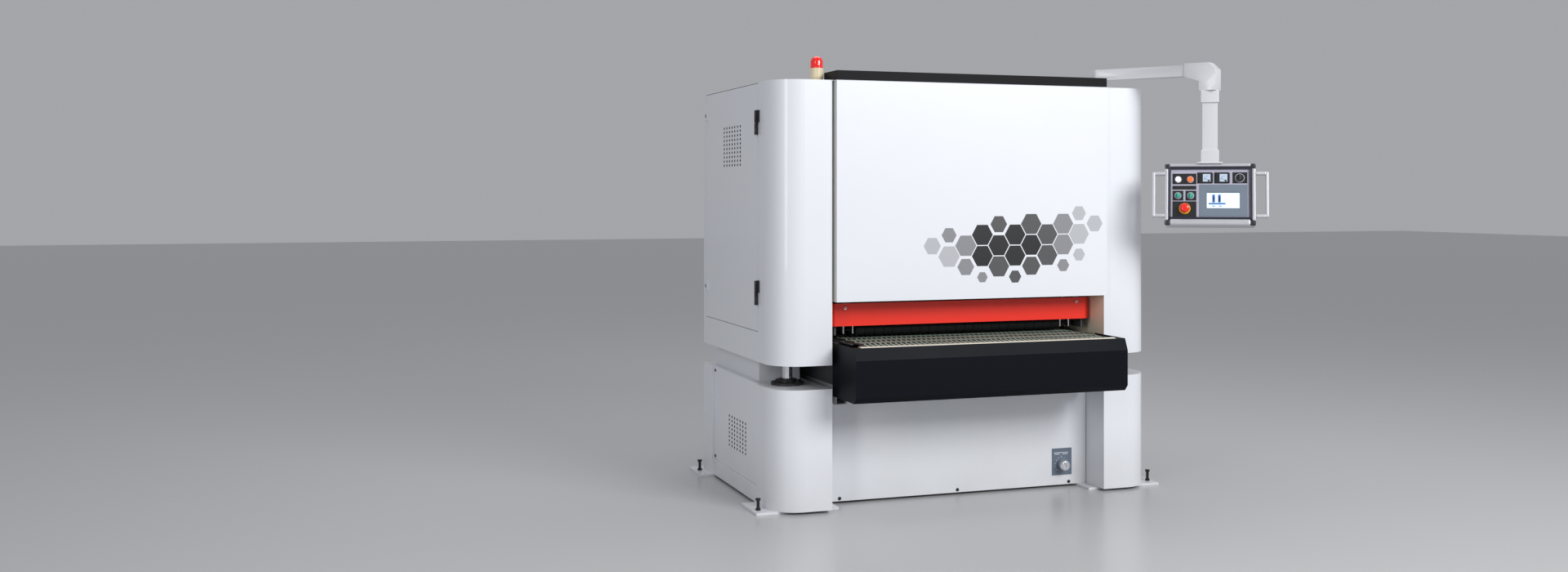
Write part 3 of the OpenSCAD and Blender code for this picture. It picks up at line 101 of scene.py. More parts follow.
def between(tree, value, low, high, top=1.0):
    """Leads 0..top of a value over to low..high."""
    return wire(tree, "ShaderNodeMapRange", Value=value, From_Max=top, To_Min=low,
                To_Max=high).outputs[0]


def blended(tree, share, first, second, how="MIX"):
    """A colour between two others."""
    return wire(tree, "ShaderNodeMix", {"data_type": "RGBA", "blend_type": how}, _0=share,
                _6=first, _7=second).outputs[2]


def two_tones(tree, share, dark, light):
    """A ramp from one grey to another."""
    ramp = wire(tree, "ShaderNodeValToRGB", Fac=share)
    ramp.color_ramp.elements[0].color = (*dark, 1)
    ramp.color_ramp.elements[1].color = (*light, 1)
    return ramp.outputs["Color"]


def give(tree, result, **sockets):
    """Leads sockets to the outputs of an effect."""
    for name, socket in sockets.items():
        tree.links.new(socket, result.inputs[name])
    return tree


DUST_TOP, DUST_GREY = 0.35, (0.42, 0.41, 0.39, 1)


def powder_coat_effect():
    """Orange peel, faint clouding of the colour, and dust that settles near the floor."""
    tree, given, result = effect(
        "Powder coat",
        [("Paint", "c", (1, 1, 1, 1)), ("Dust", "f", 0.15), ("Gloss", "f", 0.3)])
    place = object_place(tree)
    peel = wire(tree, "ShaderNodeTexNoise", Vector=place, Scale=420.0, Detail=2.0)
    cloud = wire(tree, "ShaderNodeTexNoise", Vector=place, Scale=2.2, Detail=4.0, Roughness=0.6)
    height = wire(tree, "ShaderNodeSeparateXYZ", Vector=place).outputs["Z"]
    low = between(tree, height, 1.0, 0.0, top=DUST_TOP)
    speck = maths(tree, "MULTIPLY", low, cloud.outputs["Fac"])
    dusty = maths(tree, "MULTIPLY", speck, given.outputs["Dust"])
    tint = blended(tree, 0.03, given.outputs["Paint"], cloud.outputs["Color"], "MULTIPLY")
    return give(tree, result, Color=blended(tree, dusty, tint, DUST_GREY),
                Roughness=maths(tree, "MULTIPLY_ADD", cloud.outputs["Fac"], 0.10,
                                given.outputs["Gloss"]),
                Height=peel.outputs["Fac"])


POWDER = powder_coat_effect()


def finish_of(name, color, metallic=0.0, roughness=0.4, coat=0.0):
    """A material with its Principled shader, ready for an effect."""
    mat = bpy.data.materials.new(name)
    mat.use_nodes = True
    shader = mat.node_tree.nodes["Principled BSDF"]
    for key, value in (("Base Color", (*color, 1)), ("Metallic", metallic),
                       ("Roughness", roughness), ("Coat Weight", coat)):
        shader.inputs[key].default_value = value
    mat.diffuse_color = (*color, 1)
    return mat, mat.node_tree, shader


def lay_on(tree, shader, group, bump=0.0, distance=0.0005, **values):
    """An effect group placed in a material and led to the shader's sockets of the same names."""
    laid = tree.nodes.new("ShaderNodeGroup")
    laid.node_tree = group
    for key, value in values.items():
        laid.inputs[key.replace("_", " ")].default_value = value
    for out in laid.outputs:
        if out.name == "Height":
            relief = wire(tree, "ShaderNodeBump", Strength=bump, Distance=distance,
                          Height=out)
            tree.links.new(relief.outputs["Normal"], shader.inputs["Normal"])
        elif out.name == "Color":
            tree.links.new(out, shader.inputs["Base Color"])
        else:
            tree.links.new(out, shader.inputs[out.name])
    return laid


def powder_coated(name, color, dust=0.15, gloss=0.28, coat=0.25, bump=0.05, metallic=0.0,
                  specular=0.5):
    mat, tree, shader = finish_of(name, color, metallic, coat=coat)
    shader.inputs["Specular IOR Level"].default_value = specular
    lay_on(tree, shader, POWDER, bump=bump, Paint=(*color, 1), Dust=dust, Gloss=gloss)
    return mat


def dress(mat, *names):
    """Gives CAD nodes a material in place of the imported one."""
    for name in names:
        for part in nodes[name].material_slots:
            part.material = mat


WHITE = (0.80, 0.82, 0.865)
white_coat = powder_coated("White powder coat", WHITE)
deck_coat = powder_coated("White powder coat of the base", WHITE, dust=0.5)
frame_coat = powder_coated("Grey machine paint", (0.42, 0.44, 0.46), gloss=0.42)
dress(deck_coat, "base_housings", "lower_panels", "foot_plates", "necks")
dress(frame_coat, "base_frame")


# Levelling bolts and the black pan-head screws. Blackened steel, threaded, with hexagon heads;
# the screws hold the access panels and the aprons on.
def black_oxide_effect():
    """Patchy blackening with slightly brighter rubbed spots."""
    tree, _, result = effect("Black oxide", [])
    place = object_place(tree)
    patch = wire(tree, "ShaderNodeTexNoise", Vector=place, Scale=90.0, Detail=5.0)
    share = patch.outputs["Fac"]
    return give(tree, result, Color=two_tones(tree, share, (0.012, 0.012, 0.014),
                                              (0.05, 0.05, 0.055)),
                Roughness=between(tree, share, 0.28, 0.55), Height=share)


BLACKENING = black_oxide_effect()
black_steel, black_tree, black_shader = finish_of("Blackened steel", (0.03, 0.03, 0.03), 0.6)
lay_on(black_tree, black_shader, BLACKENING, bump=0.1)


def put_in_scene(name, data):
    """An object for a mesh, lamp or camera."""
    made = bpy.data.objects.new(name, data)
    bpy.context.scene.collection.objects.link(made)
    return made


def from_mesh(name, mesh, mat):
    """An object with a finished mesh and its material."""
    data = bpy.data.meshes.new(name)
    mesh.to_mesh(data)
    mesh.free()
    data.materials.append(mat)
    return put_in_scene(name, data)


def new_piece(name, mesh, mat, body):
    """A finished mesh, painted and set to ride on its body."""
    made = from_mesh(name, mesh, mat)
    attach(made, body)
    return made


def add_lathe(mesh, profile, place=Matrix(), steps=40, closed=True):
    """A turned form: (radius, height) pairs spun about Z, then put in place."""
    rings = []
    for radius, height in profile:
        if radius < 1e-6:
            rings.append([mesh.verts.new(place @ Vector((0, 0, height)))])
            continue
        ring = []
        for i in range(steps):
            turn = math.tau * i / steps
            ring.append(mesh.verts.new(place @ Vector(
                (radius * math.cos(turn), radius * math.sin(turn), height))))
        rings.append(ring)
    for low, high in zip(rings, rings[1:]):
        for i in range(steps):
            k = (i + 1) % steps
            corners = (low[i % len(low)], low[k % len(low)],
                       high[k % len(high)], high[i % len(high)])
            unique = list(dict.fromkeys(corners))
            if len(unique) > 2:
                face = mesh.faces.new(unique)
                face.smooth = True
    return mesh


def crease(made, degrees=35):
    """Smooth shading that keeps edges sharper than the angle."""
    made.data.set_sharp_from_angle(angle=math.radians(degrees))
    return made


def turned(name, profile, place, mat, body, steps=40):
    return crease(new_piece(name, add_lathe(bmesh.new(), profile, place, steps), mat, body))


def threaded_profile(radius, length, pitch):
    """Outline of a thread, drawn as rings."""
    crests = int(length / pitch)
    points = [(0, 0), (radius - pitch / 2, 0)]
    for i in range(crests):
        points.append((radius, (i + 0.5) * pitch))
        points.append((radius - pitch / 2, (i + 1) * pitch))
    return points + [(0, crests * pitch)]


def join_rings(mesh, rings, smooth=False):
    """Faces between rings that have as many corners each."""
    for low, high in zip(rings, rings[1:]):
        for i in range(len(low)):
            k = (i + 1) % len(low)
            mesh.faces.new((low[i], low[k], high[k], high[i])).smooth = smooth


def add_hexagon(mesh, radius, low, high, place, chamfer):
    """A hexagonal head or nut with its corners turned down."""
    rings = []
    for share, height in ((1 - chamfer, low), (1, low + chamfer * radius / 2),
                          (1, high - chamfer * radius / 2), (1 - chamfer, high)):
        rings.append([mesh.verts.new(place @ Vector((
            radius * share * math.cos(math.radians(60 * i)),
            radius * share * math.sin(math.radians(60 * i)), height))) for i in range(6)])
    mesh.faces.new(rings[0][::-1])
    mesh.faces.new(rings[-1])
    join_rings(mesh, rings)


foot_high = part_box("foot_plates")[1]
bolt_low, bolt_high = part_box("levelling_bolts")
HEX_R, HEX_H, BOLT_R, THREAD_PITCH = 0.013, 0.011, 0.008, 0.002
bolts = bmesh.new()
HEX_FLAT = HEX_R * math.cos(math.pi / 6)
for side in (-1, 1):
    for y in (bolt_low.y + HEX_FLAT, bolt_high.y - HEX_FLAT):
        at = Matrix.Translation((side * (bolt_high.x - HEX_R), y, 0))
        add_lathe(bolts, threaded_profile(BOLT_R, bolt_high.z - HEX_H, THREAD_PITCH), at, 20)
        add_hexagon(bolts, HEX_R, foot_high.z, foot_high.z + HEX_H, at, 0.1)
        add_hexagon(bolts, HEX_R, bolt_high.z - HEX_H, bolt_high.z, at, 0.1)
levelling = new_piece("levelling_bolt_set", bolts, black_steel, "base")
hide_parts("levelling_bolts")

PAN_R, PAN_H = 0.009, 0.004
pan_profile = [(0, PAN_H * 0.45), (PAN_R * 0.28, PAN_H * 0.45), (PAN_R * 0.32, PAN_H),
               (PAN_R * 0.6, PAN_H), (PAN_R * 0.9, PAN_H * 0.7), (PAN_R, PAN_H * 0.25),
               (PAN_R, 0), (0, 0)]
PANEL_SCREW_Y, PANEL_SCREW_Z = (-0.319, 0.435), (0.109, 0.578)
APRON_SCREW_X, APRON_SCREW_Z = (-0.65, 0, 0.65), 0.026
screw_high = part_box("casing_screws")[1]
screws = bmesh.new()
for side in (-1, 1):
    facing_side = Matrix.Rotation(side * math.pi / 2, 4, "Y")
    facing_end = Matrix.Rotation(-side * math.pi / 2, 4, "X")
    for y in PANEL_SCREW_Y:
        for z in PANEL_SCREW_Z:
            add_lathe(screws, pan_profile, Matrix.Translation(
                (side * (screw_high.x - PAN_H), y, z)) @ facing_side, 16)
    for x in APRON_SCREW_X:
        add_lathe(screws, pan_profile, Matrix.Translation(
            (x, side * (screw_high.y - PAN_H), APRON_SCREW_Z)) @ facing_end, 16)
panel_screws = new_piece("panel_screw_set", screws, black_steel, "base")
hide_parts("casing_screws")


# Vent plugs and filter mats of the access panels, near-black as painted shade of the vent holes.
# Flanged plastic plugs sit in the vent holes;
# a mat of needled fleece is glued to the inside of each panel.
def fleece_effect():
    """Matted dark grey fibres, near-black as painted shade of the vent holes."""
    tree, _, result = effect("Fleece", [])
    place = object_place(tree)
    fibres = wire(tree, "ShaderNodeTexNoise", Vector=place, Scale=500.0, Detail=6.0)
    share = fibres.outputs["Fac"]
    return give(tree, result, Color=two_tones(tree, share, (0.02, 0.02, 0.022),
                                              (0.09, 0.09, 0.095)),
                Roughness=between(tree, share, 0.8, 1.0), Height=share)


# The near-black fleece is painted shade, seen through the vent holes.
fleece, fleece_tree, fleece_shader = finish_of("Filter fleece, painted hole shade", (0.05, 0.05, 0.05))
lay_on(fleece_tree, fleece_shader, fleece_effect(), bump=0.4, distance=0.001)


def add_block(mesh, low, high, bevel=0.0, place=Matrix(), segments=2):
    """A block with rounded edges between two corners."""
    size = Vector(high) - Vector(low)
    centre = (Vector(high) + Vector(low)) / 2
    made = bmesh.ops.create_cube(mesh, size=1.0, matrix=place @ Matrix.Translation(centre)
                                 @ Matrix.Diagonal((*size, 1)))
    if bevel:
        edges = {e for v in made["verts"] for e in v.link_edges}
        bmesh.ops.bevel(mesh, geom=list(edges), offset=bevel, segments=segments, affect="EDGES",
                        profile=0.5)
    return mesh


def on_side(side, low, high):
    """Two corners of a block of the right side, mirrored in X where the side is the left one."""
    x = sorted((side * low[0], side * high[0]))
    return (x[0], *low[1:]), (x[1], *high[1:])


VENT_COLUMNS, VENT_PITCH_Y, VENT_PITCH_Z = 7, 0.048, 0.022
# Vent fields of the access panels and the doors: face in X, first hole in Y and Z, rows
PANEL_VENTS, DOOR_VENTS = (1.038, -0.116, 0.214, 8), (1.052, -0.069, 1.697, 10)
PANEL_SHADE_MAT = ((1.0307, -0.130, 0.200), (1.0347, 0.186, 0.382))
DOOR_SHADE_MAT = ((1.0445, -0.085, 1.680), (1.0485, 0.235, 1.912))
SHADE_PLUG_FORM = [(0, -0.003), (0.0045, -0.003), (0.0045, 0.0001), (0.0070, 0.0001), (0.0066, 0.0010),
             (0.0040, 0.0010), (0.0030, 0.0002), (0, 0)]


def add_shade_plugs(mesh, side, face_x, start_y, start_z, rows):
    """Snap-in plugs in a field of vent holes, each with a thin flange on the sheet's face; their
    near-black is painted shade of the holes.
    """
    for column in range(VENT_COLUMNS):
        for row in range(rows):
            seat = (Matrix.Translation((side * face_x, start_y + VENT_PITCH_Y * column,
                                        start_z + VENT_PITCH_Z * row))
                    @ Matrix.Rotation(side * math.pi / 2, 4, "Y"))
            add_lathe(mesh, SHADE_PLUG_FORM, seat, 12)


# Near-black plugs: painted shade inside the vent holes.
plug_painted_shade = powder_coated("Vent plug, painted hole shade", (0.010, 0.010, 0.012), gloss=0.7, coat=0.0,
                          specular=0.1)
vent_shade_plugs = bmesh.new()
for side in (-1, 1):
    add_shade_plugs(vent_shade_plugs, side, *PANEL_VENTS)
new_piece("access_panel_vent_shade_plugs", vent_shade_plugs, plug_painted_shade, "base")
base_shade_mats = bmesh.new()
for side in (-1, 1):
    add_block(base_shade_mats, *on_side(side, *PANEL_SHADE_MAT), 0.001)
new_piece("access_panel_filter_shade_mats", base_shade_mats, fleece, "base")


# Screw jacks and lift columns. Black cast flanges bolted to the deck guide hard-chromed
# columns; the jacks are tied by closed chain cases with one gearmotor.
def turned_effect():
    """Fine lines left by turning or grinding, drawn out along one axis."""
    tree, given, result = effect(
        "Turned lines", [("Along", "f", 1.0), ("Across", "f", 1.0), ("Shine", "f", 0.2)],
        [("Roughness", "f"), ("Height", "f")])
    split = wire(tree, "ShaderNodeSeparateXYZ", Vector=object_place(tree))
    drawn = {axis: maths(tree, "MULTIPLY", split.outputs[axis], given.outputs[stretch])
             for axis, stretch in (("X", "Along"), ("Y", "Across"), ("Z", "Across"))}
    joined = wire(tree, "ShaderNodeCombineXYZ", **drawn)
    lines = wire(tree, "ShaderNodeTexNoise", Vector=joined.outputs[0], Scale=1.0, Detail=3.0)
    share = lines.outputs["Fac"]
    return give(tree, result, Height=share,
                Roughness=maths(tree, "MULTIPLY_ADD", share, 0.18, given.outputs["Shine"]))


TURNING = turned_effect()


def machined(name, color, shine, along, across, bump=0.06, metallic=1.0):
    mat, tree, shader = finish_of(name, color, metallic=metallic, roughness=shine)
    lay_on(tree, shader, TURNING, bump=bump, Along=along, Across=across, Shine=shine)
    return mat


chrome = machined("Hard chrome", (0.78, 0.79, 0.82), 0.03, 4.0, 60.0, bump=0.02)
black_iron, iron_tree, iron_shader = finish_of("Black cast iron", (0.03, 0.03, 0.03), 0.3, 0.4)
lay_on(iron_tree, iron_shader, BLACKENING, bump=0.25, distance=0.001)
motor_coat = powder_coated("Motor paint", (0.07, 0.09, 0.12), gloss=0.38)
dress(chrome, "lift_columns")
dress(black_iron, "lift_jacks", "motor_pulley")
dress(motor_coat, "lift_drive", "main_motor", "brush_motor", "conveyor_gearmotor")


# Conveyor frame, drums and belt. Painted plates carry two steel drums; the endless belt has a
# rough top of zigzag rubber ribs that grips the sheets.
conveyor_coat = powder_coated("Dark frame paint", (0.045, 0.048, 0.055), gloss=0.4)
drum_steel = machined("Turned drum steel", (0.55, 0.56, 0.58), 0.22, 900.0, 3.0, bump=0.15)
dress(conveyor_coat, "conveyor_frame")
dress(drum_steel, "infeed_drum", "outfeed_drum")


def rubber_effect():
    """Talc-like bloom on moulded rubber, with a fine grain."""
    tree, given, result = effect(
        "Rubber bloom", [("Rubber", "c", (0, 0, 0, 1)), ("Bloom", "c", (1, 1, 1, 1)),
                         ("Worn", "f", 0.3)])
    place = object_place(tree)
    grain = wire(tree, "ShaderNodeTexNoise", Vector=place, Scale=700.0, Detail=3.0)
    patch = wire(tree, "ShaderNodeTexNoise", Vector=place, Scale=14.0, Detail=6.0)
    spread = maths(tree, "MULTIPLY", patch.outputs["Fac"], given.outputs["Worn"])
    return give(tree, result, Height=grain.outputs["Fac"],
                Color=blended(tree, spread, given.outputs["Rubber"], given.outputs["Bloom"]),
                Roughness=between(tree, patch.outputs["Fac"], 0.55, 0.85))


RUBBER = rubber_effect()


def rubbery(name, color, bloom, worn=0.3, bump=0.2, specular=0.5):
    mat, tree, shader = finish_of(name, color, roughness=0.7)
    shader.inputs["Specular IOR Level"].default_value = specular
    lay_on(tree, shader, RUBBER, bump=bump, Rubber=(*color, 1), Bloom=(*bloom, 1), Worn=worn)
    return mat


# Near-black belt face between the ribs: painted shade in the grooves; the ribs keep the rubber's
# grey-green.
belt_groove_shade = rubbery("Belt between the ribs, painted shade", (0.006, 0.007, 0.006), (0.02, 0.022, 0.02))
belt_ribs = rubbery("Belt ribs", (0.17, 0.225, 0.18), (0.42, 0.50, 0.42), worn=0.8)
belt_low, belt_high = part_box("conveyor_belt")
LOOP_R = (belt_high.z - belt_low.z) / 2
RUN = belt_high.y - LOOP_R
BELT_MID_Z = (belt_low.z + belt_high.z) / 2
BELT_LENGTH = 4 * RUN + 2 * math.pi * LOOP_R
BELT_THICK, BELT_STEPS = 0.0047, 160
RIB_PITCH, RIB_HEIGHT, RIB_BITE = 0.027, 0.0022, 0.0003
RIB_HALF, RIB_SWAY = RIB_PITCH * 0.21, RIB_PITCH * 0.42
ZIG, ZIG_STEPS = 0.06, 5


def along_belt(distance, depth):
    """A point of the belt loop in Y and Z: distance along it, and depth under its face."""
    radius = LOOP_R - depth
    half_turn = math.pi * LOOP_R
    distance %= BELT_LENGTH
    if distance < 2 * RUN:
        return Vector((0, -RUN + distance, BELT_MID_Z + radius))
    distance -= 2 * RUN
    if distance < half_turn:
        turn = distance / LOOP_R
        return Vector((0, RUN + radius * math.sin(turn), BELT_MID_Z + radius * math.cos(turn)))
    distance -= half_turn
    if distance < 2 * RUN:
        return Vector((0, RUN - distance, BELT_MID_Z - radius))
    turn = (distance - 2 * RUN) / LOOP_R
    return Vector((0, -RUN - radius * math.sin(turn), BELT_MID_Z - radius * math.cos(turn)))


def belt_carcass():
    """The flat carcass of the belt: a band with square edges, round both drums."""
    mesh = bmesh.new()
    rings = []
    for i in range(BELT_STEPS):
        ring = []
        for x, depth in ((belt_low.x, RIB_HEIGHT), (belt_high.x, RIB_HEIGHT),
                         (belt_high.x, BELT_THICK), (belt_low.x, BELT_THICK)):
            at = along_belt(i * BELT_LENGTH / BELT_STEPS, depth)
            ring.append(mesh.verts.new(at + Vector((x, 0, 0))))
        rings.append(ring)
    join_rings(mesh, rings + rings[:1])
    bmesh.ops.recalc_face_normals(mesh, faces=mesh.faces)
    return mesh


def belt_rib_mesh():
    """Zigzag ribs that run round the belt side by side."""
    mesh = bmesh.new()
    steps = 2 * round(BELT_LENGTH / ZIG / 2) * ZIG_STEPS
    ribs = int((belt_high.x - belt_low.x) / RIB_PITCH) - 1
    for r in range(ribs):
        mid = (r + 0.5 - ribs / 2) * RIB_PITCH
        rows = []
        for i in range(steps):
            share = i % (2 * ZIG_STEPS) / ZIG_STEPS
            shift = mid + RIB_SWAY * (2 * min(share, 2 - share) - 1)
            base = along_belt(i * BELT_LENGTH / steps, RIB_HEIGHT + RIB_BITE)
            crest = along_belt(i * BELT_LENGTH / steps, 0)
            rows.append([mesh.verts.new(at + Vector((shift + RIB_HALF * out, 0, 0)))
                         for at, out in ((base, -1), (crest, -0.6), (crest, 0.6), (base, 1))])
        for here, there in zip(rows, rows[1:] + rows[:1]):
            for k in range(3):
                mesh.faces.new((here[k], there[k], there[k + 1], here[k + 1]))
    return mesh


carcass = new_piece("belt_carcass", belt_carcass(), belt_groove_shade, "base")
ribs = new_piece("belt_zigzag_ribs", belt_rib_mesh(), belt_ribs, "base")
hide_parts("conveyor_belt")


# Conveyor end covers. Folded sheet in satin black, with a pale wear strip along the lip over
# which the sheets slide.
cover_black = powder_coated("Satin black cover coat", (0.0030, 0.0042, 0.0078), dust=0.02,
                            gloss=0.45, coat=0.0, specular=0.1)
strip_white = powder_coated("Wear strip", (0.72, 0.68, 0.58), gloss=0.25)
dress(cover_black, "conveyor_covers")
cover_low, cover_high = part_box("conveyor_covers")


CHAMFER, LIP, STRIP_T, STRIP_LEFT, STRIP_RIGHT = 0.025, 0.028, 0.0045, 0.035, 0.055
strips = bmesh.new()
for side in (-1, 1):
    lip_y = sorted((side * (cover_high.y - CHAMFER), side * (cover_high.y - CHAMFER - LIP)))
    add_block(strips, (cover_low.x + STRIP_LEFT, lip_y[0], cover_high.z),
              (cover_high.x - STRIP_RIGHT, lip_y[1], cover_high.z + STRIP_T), 0.0004)
new_piece("lip_wear_strips", strips, strip_white, "base")


# Feed speed dial. A printed plate with scale ticks round a fluted, turned aluminium knob.
dial_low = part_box("dial_plate")[0]
knob_low, knob_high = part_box("speed_knob")
knob_mid = (knob_low + knob_high) / 2
dial_blue = powder_coated("Dial plate print", (0.10, 0.135, 0.19), gloss=0.3)
tick_white = powder_coated("Scale print", (0.75, 0.78, 0.82), gloss=0.4)
knob_metal = machined("Turned aluminium knob", (0.75, 0.77, 0.80), 0.18, 300.0, 300.0)
dress(dial_blue, "dial_plate")
ticks = bmesh.new()
TICKS, TICK_START, TICK_STEP = 11, 225, -27
TICK_IN, TICK_OUT, TICK_EXTRA, TICK_HALF = 0.0335, 0.0395, 0.006, 0.0009
INK_OUT, INK_IN = 0.0006, 0.0001
dial_centre = Matrix.Translation((knob_mid.x, dial_low.y, knob_mid.z))
for i in range(TICKS):
    spin = dial_centre @ Matrix.Rotation(-math.radians(TICK_START + TICK_STEP * i), 4, "Y")
    end = TICK_OUT + (TICK_EXTRA if i % 5 == 0 else 0.0)
    add_block(ticks, (TICK_IN, -INK_OUT, -TICK_HALF), (end, INK_IN, TICK_HALF), place=spin)
for x0, x1, z in ((-0.044, 0.040, 0.060), (-0.040, -0.010, 0.052), (0.006, 0.036, 0.052)):
    add_block(ticks, (x0, -INK_OUT, z), (x1, INK_IN, z + 0.003), place=dial_centre)
new_piece("dial_scale_marks", ticks, tick_white, "base")


def fluted_knob(radius, length, flutes, place):
    """A knob whose rim is milled with flutes, domed slightly at the front."""
    mesh = bmesh.new()
    steps = flutes * 8
    levels = ((0.0, 0.92), (0.004, 1.0), (length - 0.006, 1.0), (length - 0.002, 0.93),
              (length, 0.8))
    rings = []
    for height, share in levels:
        ring = []
        for i in range(steps):
            wave = 0.5 - 0.5 * math.cos(math.tau * flutes * i / steps)
            r = radius * share * (1 - 0.075 * wave ** 3)
            ring.append(mesh.verts.new(place @ Vector((
                r * math.cos(math.tau * i / steps), r * math.sin(math.tau * i / steps), height))))
        rings.append(ring)
    join_rings(mesh, rings, smooth=True)
    mesh.faces.new(rings[0][::-1])
    mesh.faces.new(rings[-1])
    return mesh


knob_place = (Matrix.Translation((knob_mid.x, knob_high.y, knob_mid.z))
              @ Matrix.Rotation(math.pi / 2, 4, "X"))
knob = crease(new_piece("feed_knob", fluted_knob((knob_high.x - knob_low.x) / 2,
                        knob_high.y - knob_low.y, 18, knob_place), knob_metal, "feed_dial_knob"))
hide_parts("speed_knob")
pointer = bmesh.new()
add_block(pointer, (-0.0012, -0.001, 0), (0.0012, 0.020, 0.0004),
          place=knob_place @ Matrix.Translation((0, 0, knob_high.y - knob_low.y))
          @ Matrix.Rotation(math.radians(35), 4, "Z"))
new_piece("knob_pointer_line", pointer, black_steel, "feed_dial_knob")


# Head frame: thick inner walls in cream, dark grey cross beams and the cantilever beam of the belt
# unit, all welded plate under paint. The beams' dark grey is their grey paint darkened by painted
# shade of the throat.
cream_coat = powder_coated("Cream wall paint", (0.95, 0.90, 0.70), gloss=0.4)
shield_coat = powder_coated("Shield paint", (0.05, 0.054, 0.058), gloss=0.5)
# Dark grey beams: grey paint darkened as painted shade of the throat over the belt.
beam_coat_and_throat_shade = powder_coated("Beam paint with painted throat shade", (0.10, 0.106, 0.112), gloss=0.45)
dress(cream_coat, "inner_walls")
dress(beam_coat_and_throat_shade, "head_beams", "sanding_beam")
dress(shield_coat, "press_brackets")


# Head casing: rounded front columns, roof, back panel and the proud front panel, folded from
# sheet and powder coated; the black cap closes the front edge of the roof.
cap_black = powder_coated("Satin black coat", (0.006, 0.006, 0.008), gloss=0.5, coat=0.0,
                          dust=0.0, specular=0.15)
dress(white_coat, "side_skins", "back_panel", "front_panel", "roof", "arm_pedestal")
dress(cap_black, "top_cap")
front_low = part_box("front_panel")[0]
# Tiles of the decal: column, row, shade and size
DECAL_TILES = ((-3, 1, 3, 0.8), (-2, 0, 3, 1), (-2, 2, 2, 0.7), (-1, 1, 2, 1), (-1, -1, 2, 0.8),
               (0, 0, 0, 1), (0, 2, 0, 1), (1, 1, 0, 1), (1, -1, 1, 1), (1, 3, 1, 0.8),
               (2, 0, 0, 1), (2, 2, 0, 1), (3, 1, 0, 1), (3, 3, 1, 1), (3, -1, 1, 0.9),
               (4, 0, 1, 1), (4, 2, 1, 1), (5, 1, 2, 1), (5, 3, 2, 1), (5, -1, 2, 0.6),
               (6, 2, 3, 1), (6, 4, 3, 0.7), (7, 3, 3, 0.8), (2, -2, 1, 0.6), (0, -2, 2, 0.5),
               (6, 0, 3, 0.6))
DECAL_X, DECAL_Z, CELL_W, CELL_H, TILE_R, INK_T = 0.04, 1.235, 0.092, 0.0531, 0.0584, 0.0003
decal_inks = [powder_coated("Decal black", (0.018, 0.018, 0.020), gloss=0.3),
              powder_coated("Decal dark grey", (0.09, 0.09, 0.095), gloss=0.3),
              powder_coated("Decal mid grey", (0.26, 0.265, 0.28), gloss=0.3),
              powder_coated("Decal light grey", (0.48, 0.49, 0.52), gloss=0.3)]
for shade, ink in enumerate(decal_inks):
    film = bmesh.new()
    for column, row, tone, size in DECAL_TILES:
        if tone == shade:
            at = Matrix.Translation((DECAL_X + column * CELL_W, front_low.y,
                                     DECAL_Z + row * CELL_H)) @ Matrix.Rotation(math.pi / 2, 4, "X")
            add_hexagon(film, TILE_R * size, 0, INK_T, at, 0.0)
    new_piece(f"decal_tiles_{shade}", film, ink, "head")


# Red guards with their socket screws. Folded sheet in signal red over the infeed and the
# outfeed, each held by two chromed screws.
guard_red = powder_coated("Signal red coat", (0.95, 0.030, 0.012), gloss=0.3, coat=0.1, dust=0.0)
dress(guard_red, "guards")
guard_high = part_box("guards")[1]
bright_screw = machined("Bright screw", (0.72, 0.72, 0.74), 0.12, 80.0, 80.0)
SOCKET_R, SOCKET_H, SOCKET_SINK, SOCKET_X, SOCKET_Z = 0.0085, 0.006, 0.005, 0.65, 0.982
socket_profile = [(0, 0.002), (SOCKET_R * 0.5, 0.002), (SOCKET_R * 0.52, SOCKET_H),
                  (SOCKET_R * 0.85, SOCKET_H), (SOCKET_R, SOCKET_H * 0.8), (SOCKET_R, 0), (0, 0)]
guard_screws = bmesh.new()
for side in (-1, 1):
    for x in (-SOCKET_X, SOCKET_X):
        add_lathe(guard_screws, socket_profile, Matrix.Translation(
            (x, side * (guard_high.y - SOCKET_SINK), SOCKET_Z))
            @ Matrix.Rotation(-side * math.pi / 2, 4, "X"), 24)
new_piece("guard_socket_screws", guard_screws, bright_screw, "head")


# Belt unit: rubber-covered contact roller, steel tension roller, the abrasive belt over both,
# and the V belts from the motor.
contact_rubber = rubbery("Contact roller rubber", (0.035, 0.033, 0.03), (0.10, 0.09, 0.08))
roller_steel = machined("Ground roller steel", (0.6, 0.61, 0.63), 0.14, 700.0, 3.0)
drive_rubber = rubbery("Drive belt rubber", (0.015, 0.015, 0.015), (0.05, 0.05, 0.05))
dress(contact_rubber, "contact_roller")
dress(roller_steel, "tension_roller")
dress(drive_rubber, "drive_belts")


def grit_effect():
    """Abrasive grit glued on cloth: sharp grains with tiny colour changes."""
    tree, given, result = effect(
        "Grit", [("Grain", "c", (0.3, 0.1, 0.05, 1)), ("Resin", "c", (0.1, 0.03, 0.02, 1)),
                 ("Size", "f", 1600.0)])
    place = object_place(tree)
    grains = wire(tree, "ShaderNodeTexVoronoi", Vector=place, Scale=given.outputs["Size"])
    patch = wire(tree, "ShaderNodeTexNoise", Vector=place, Scale=6.0, Detail=4.0)
    depth = grains.outputs["Distance"]
    mixed = maths(tree, "MULTIPLY", depth, patch.outputs["Fac"])
    return give(tree, result, Height=depth,
                Color=blended(tree, mixed, given.outputs["Grain"], given.outputs["Resin"]),
                Roughness=between(tree, depth, 0.55, 0.9))


GRIT = grit_effect()
for node, name, color, grain, resin, size in (
        ("abrasive_belt", "Coated abrasive", (0.25, 0.08, 0.04), (0.30, 0.095, 0.045, 1),
         (0.11, 0.03, 0.016, 1), 900.0),
        ("brush_roller", "Abrasive flaps", (0.25, 0.17, 0.07), (0.34, 0.23, 0.10, 1),
         (0.13, 0.08, 0.035, 1), 700.0)):
    mat, tree, shader = finish_of(name, color)
    lay_on(tree, shader, GRIT, bump=0.5, Grain=grain, Resin=resin, Size=size)
    dress(mat, node)


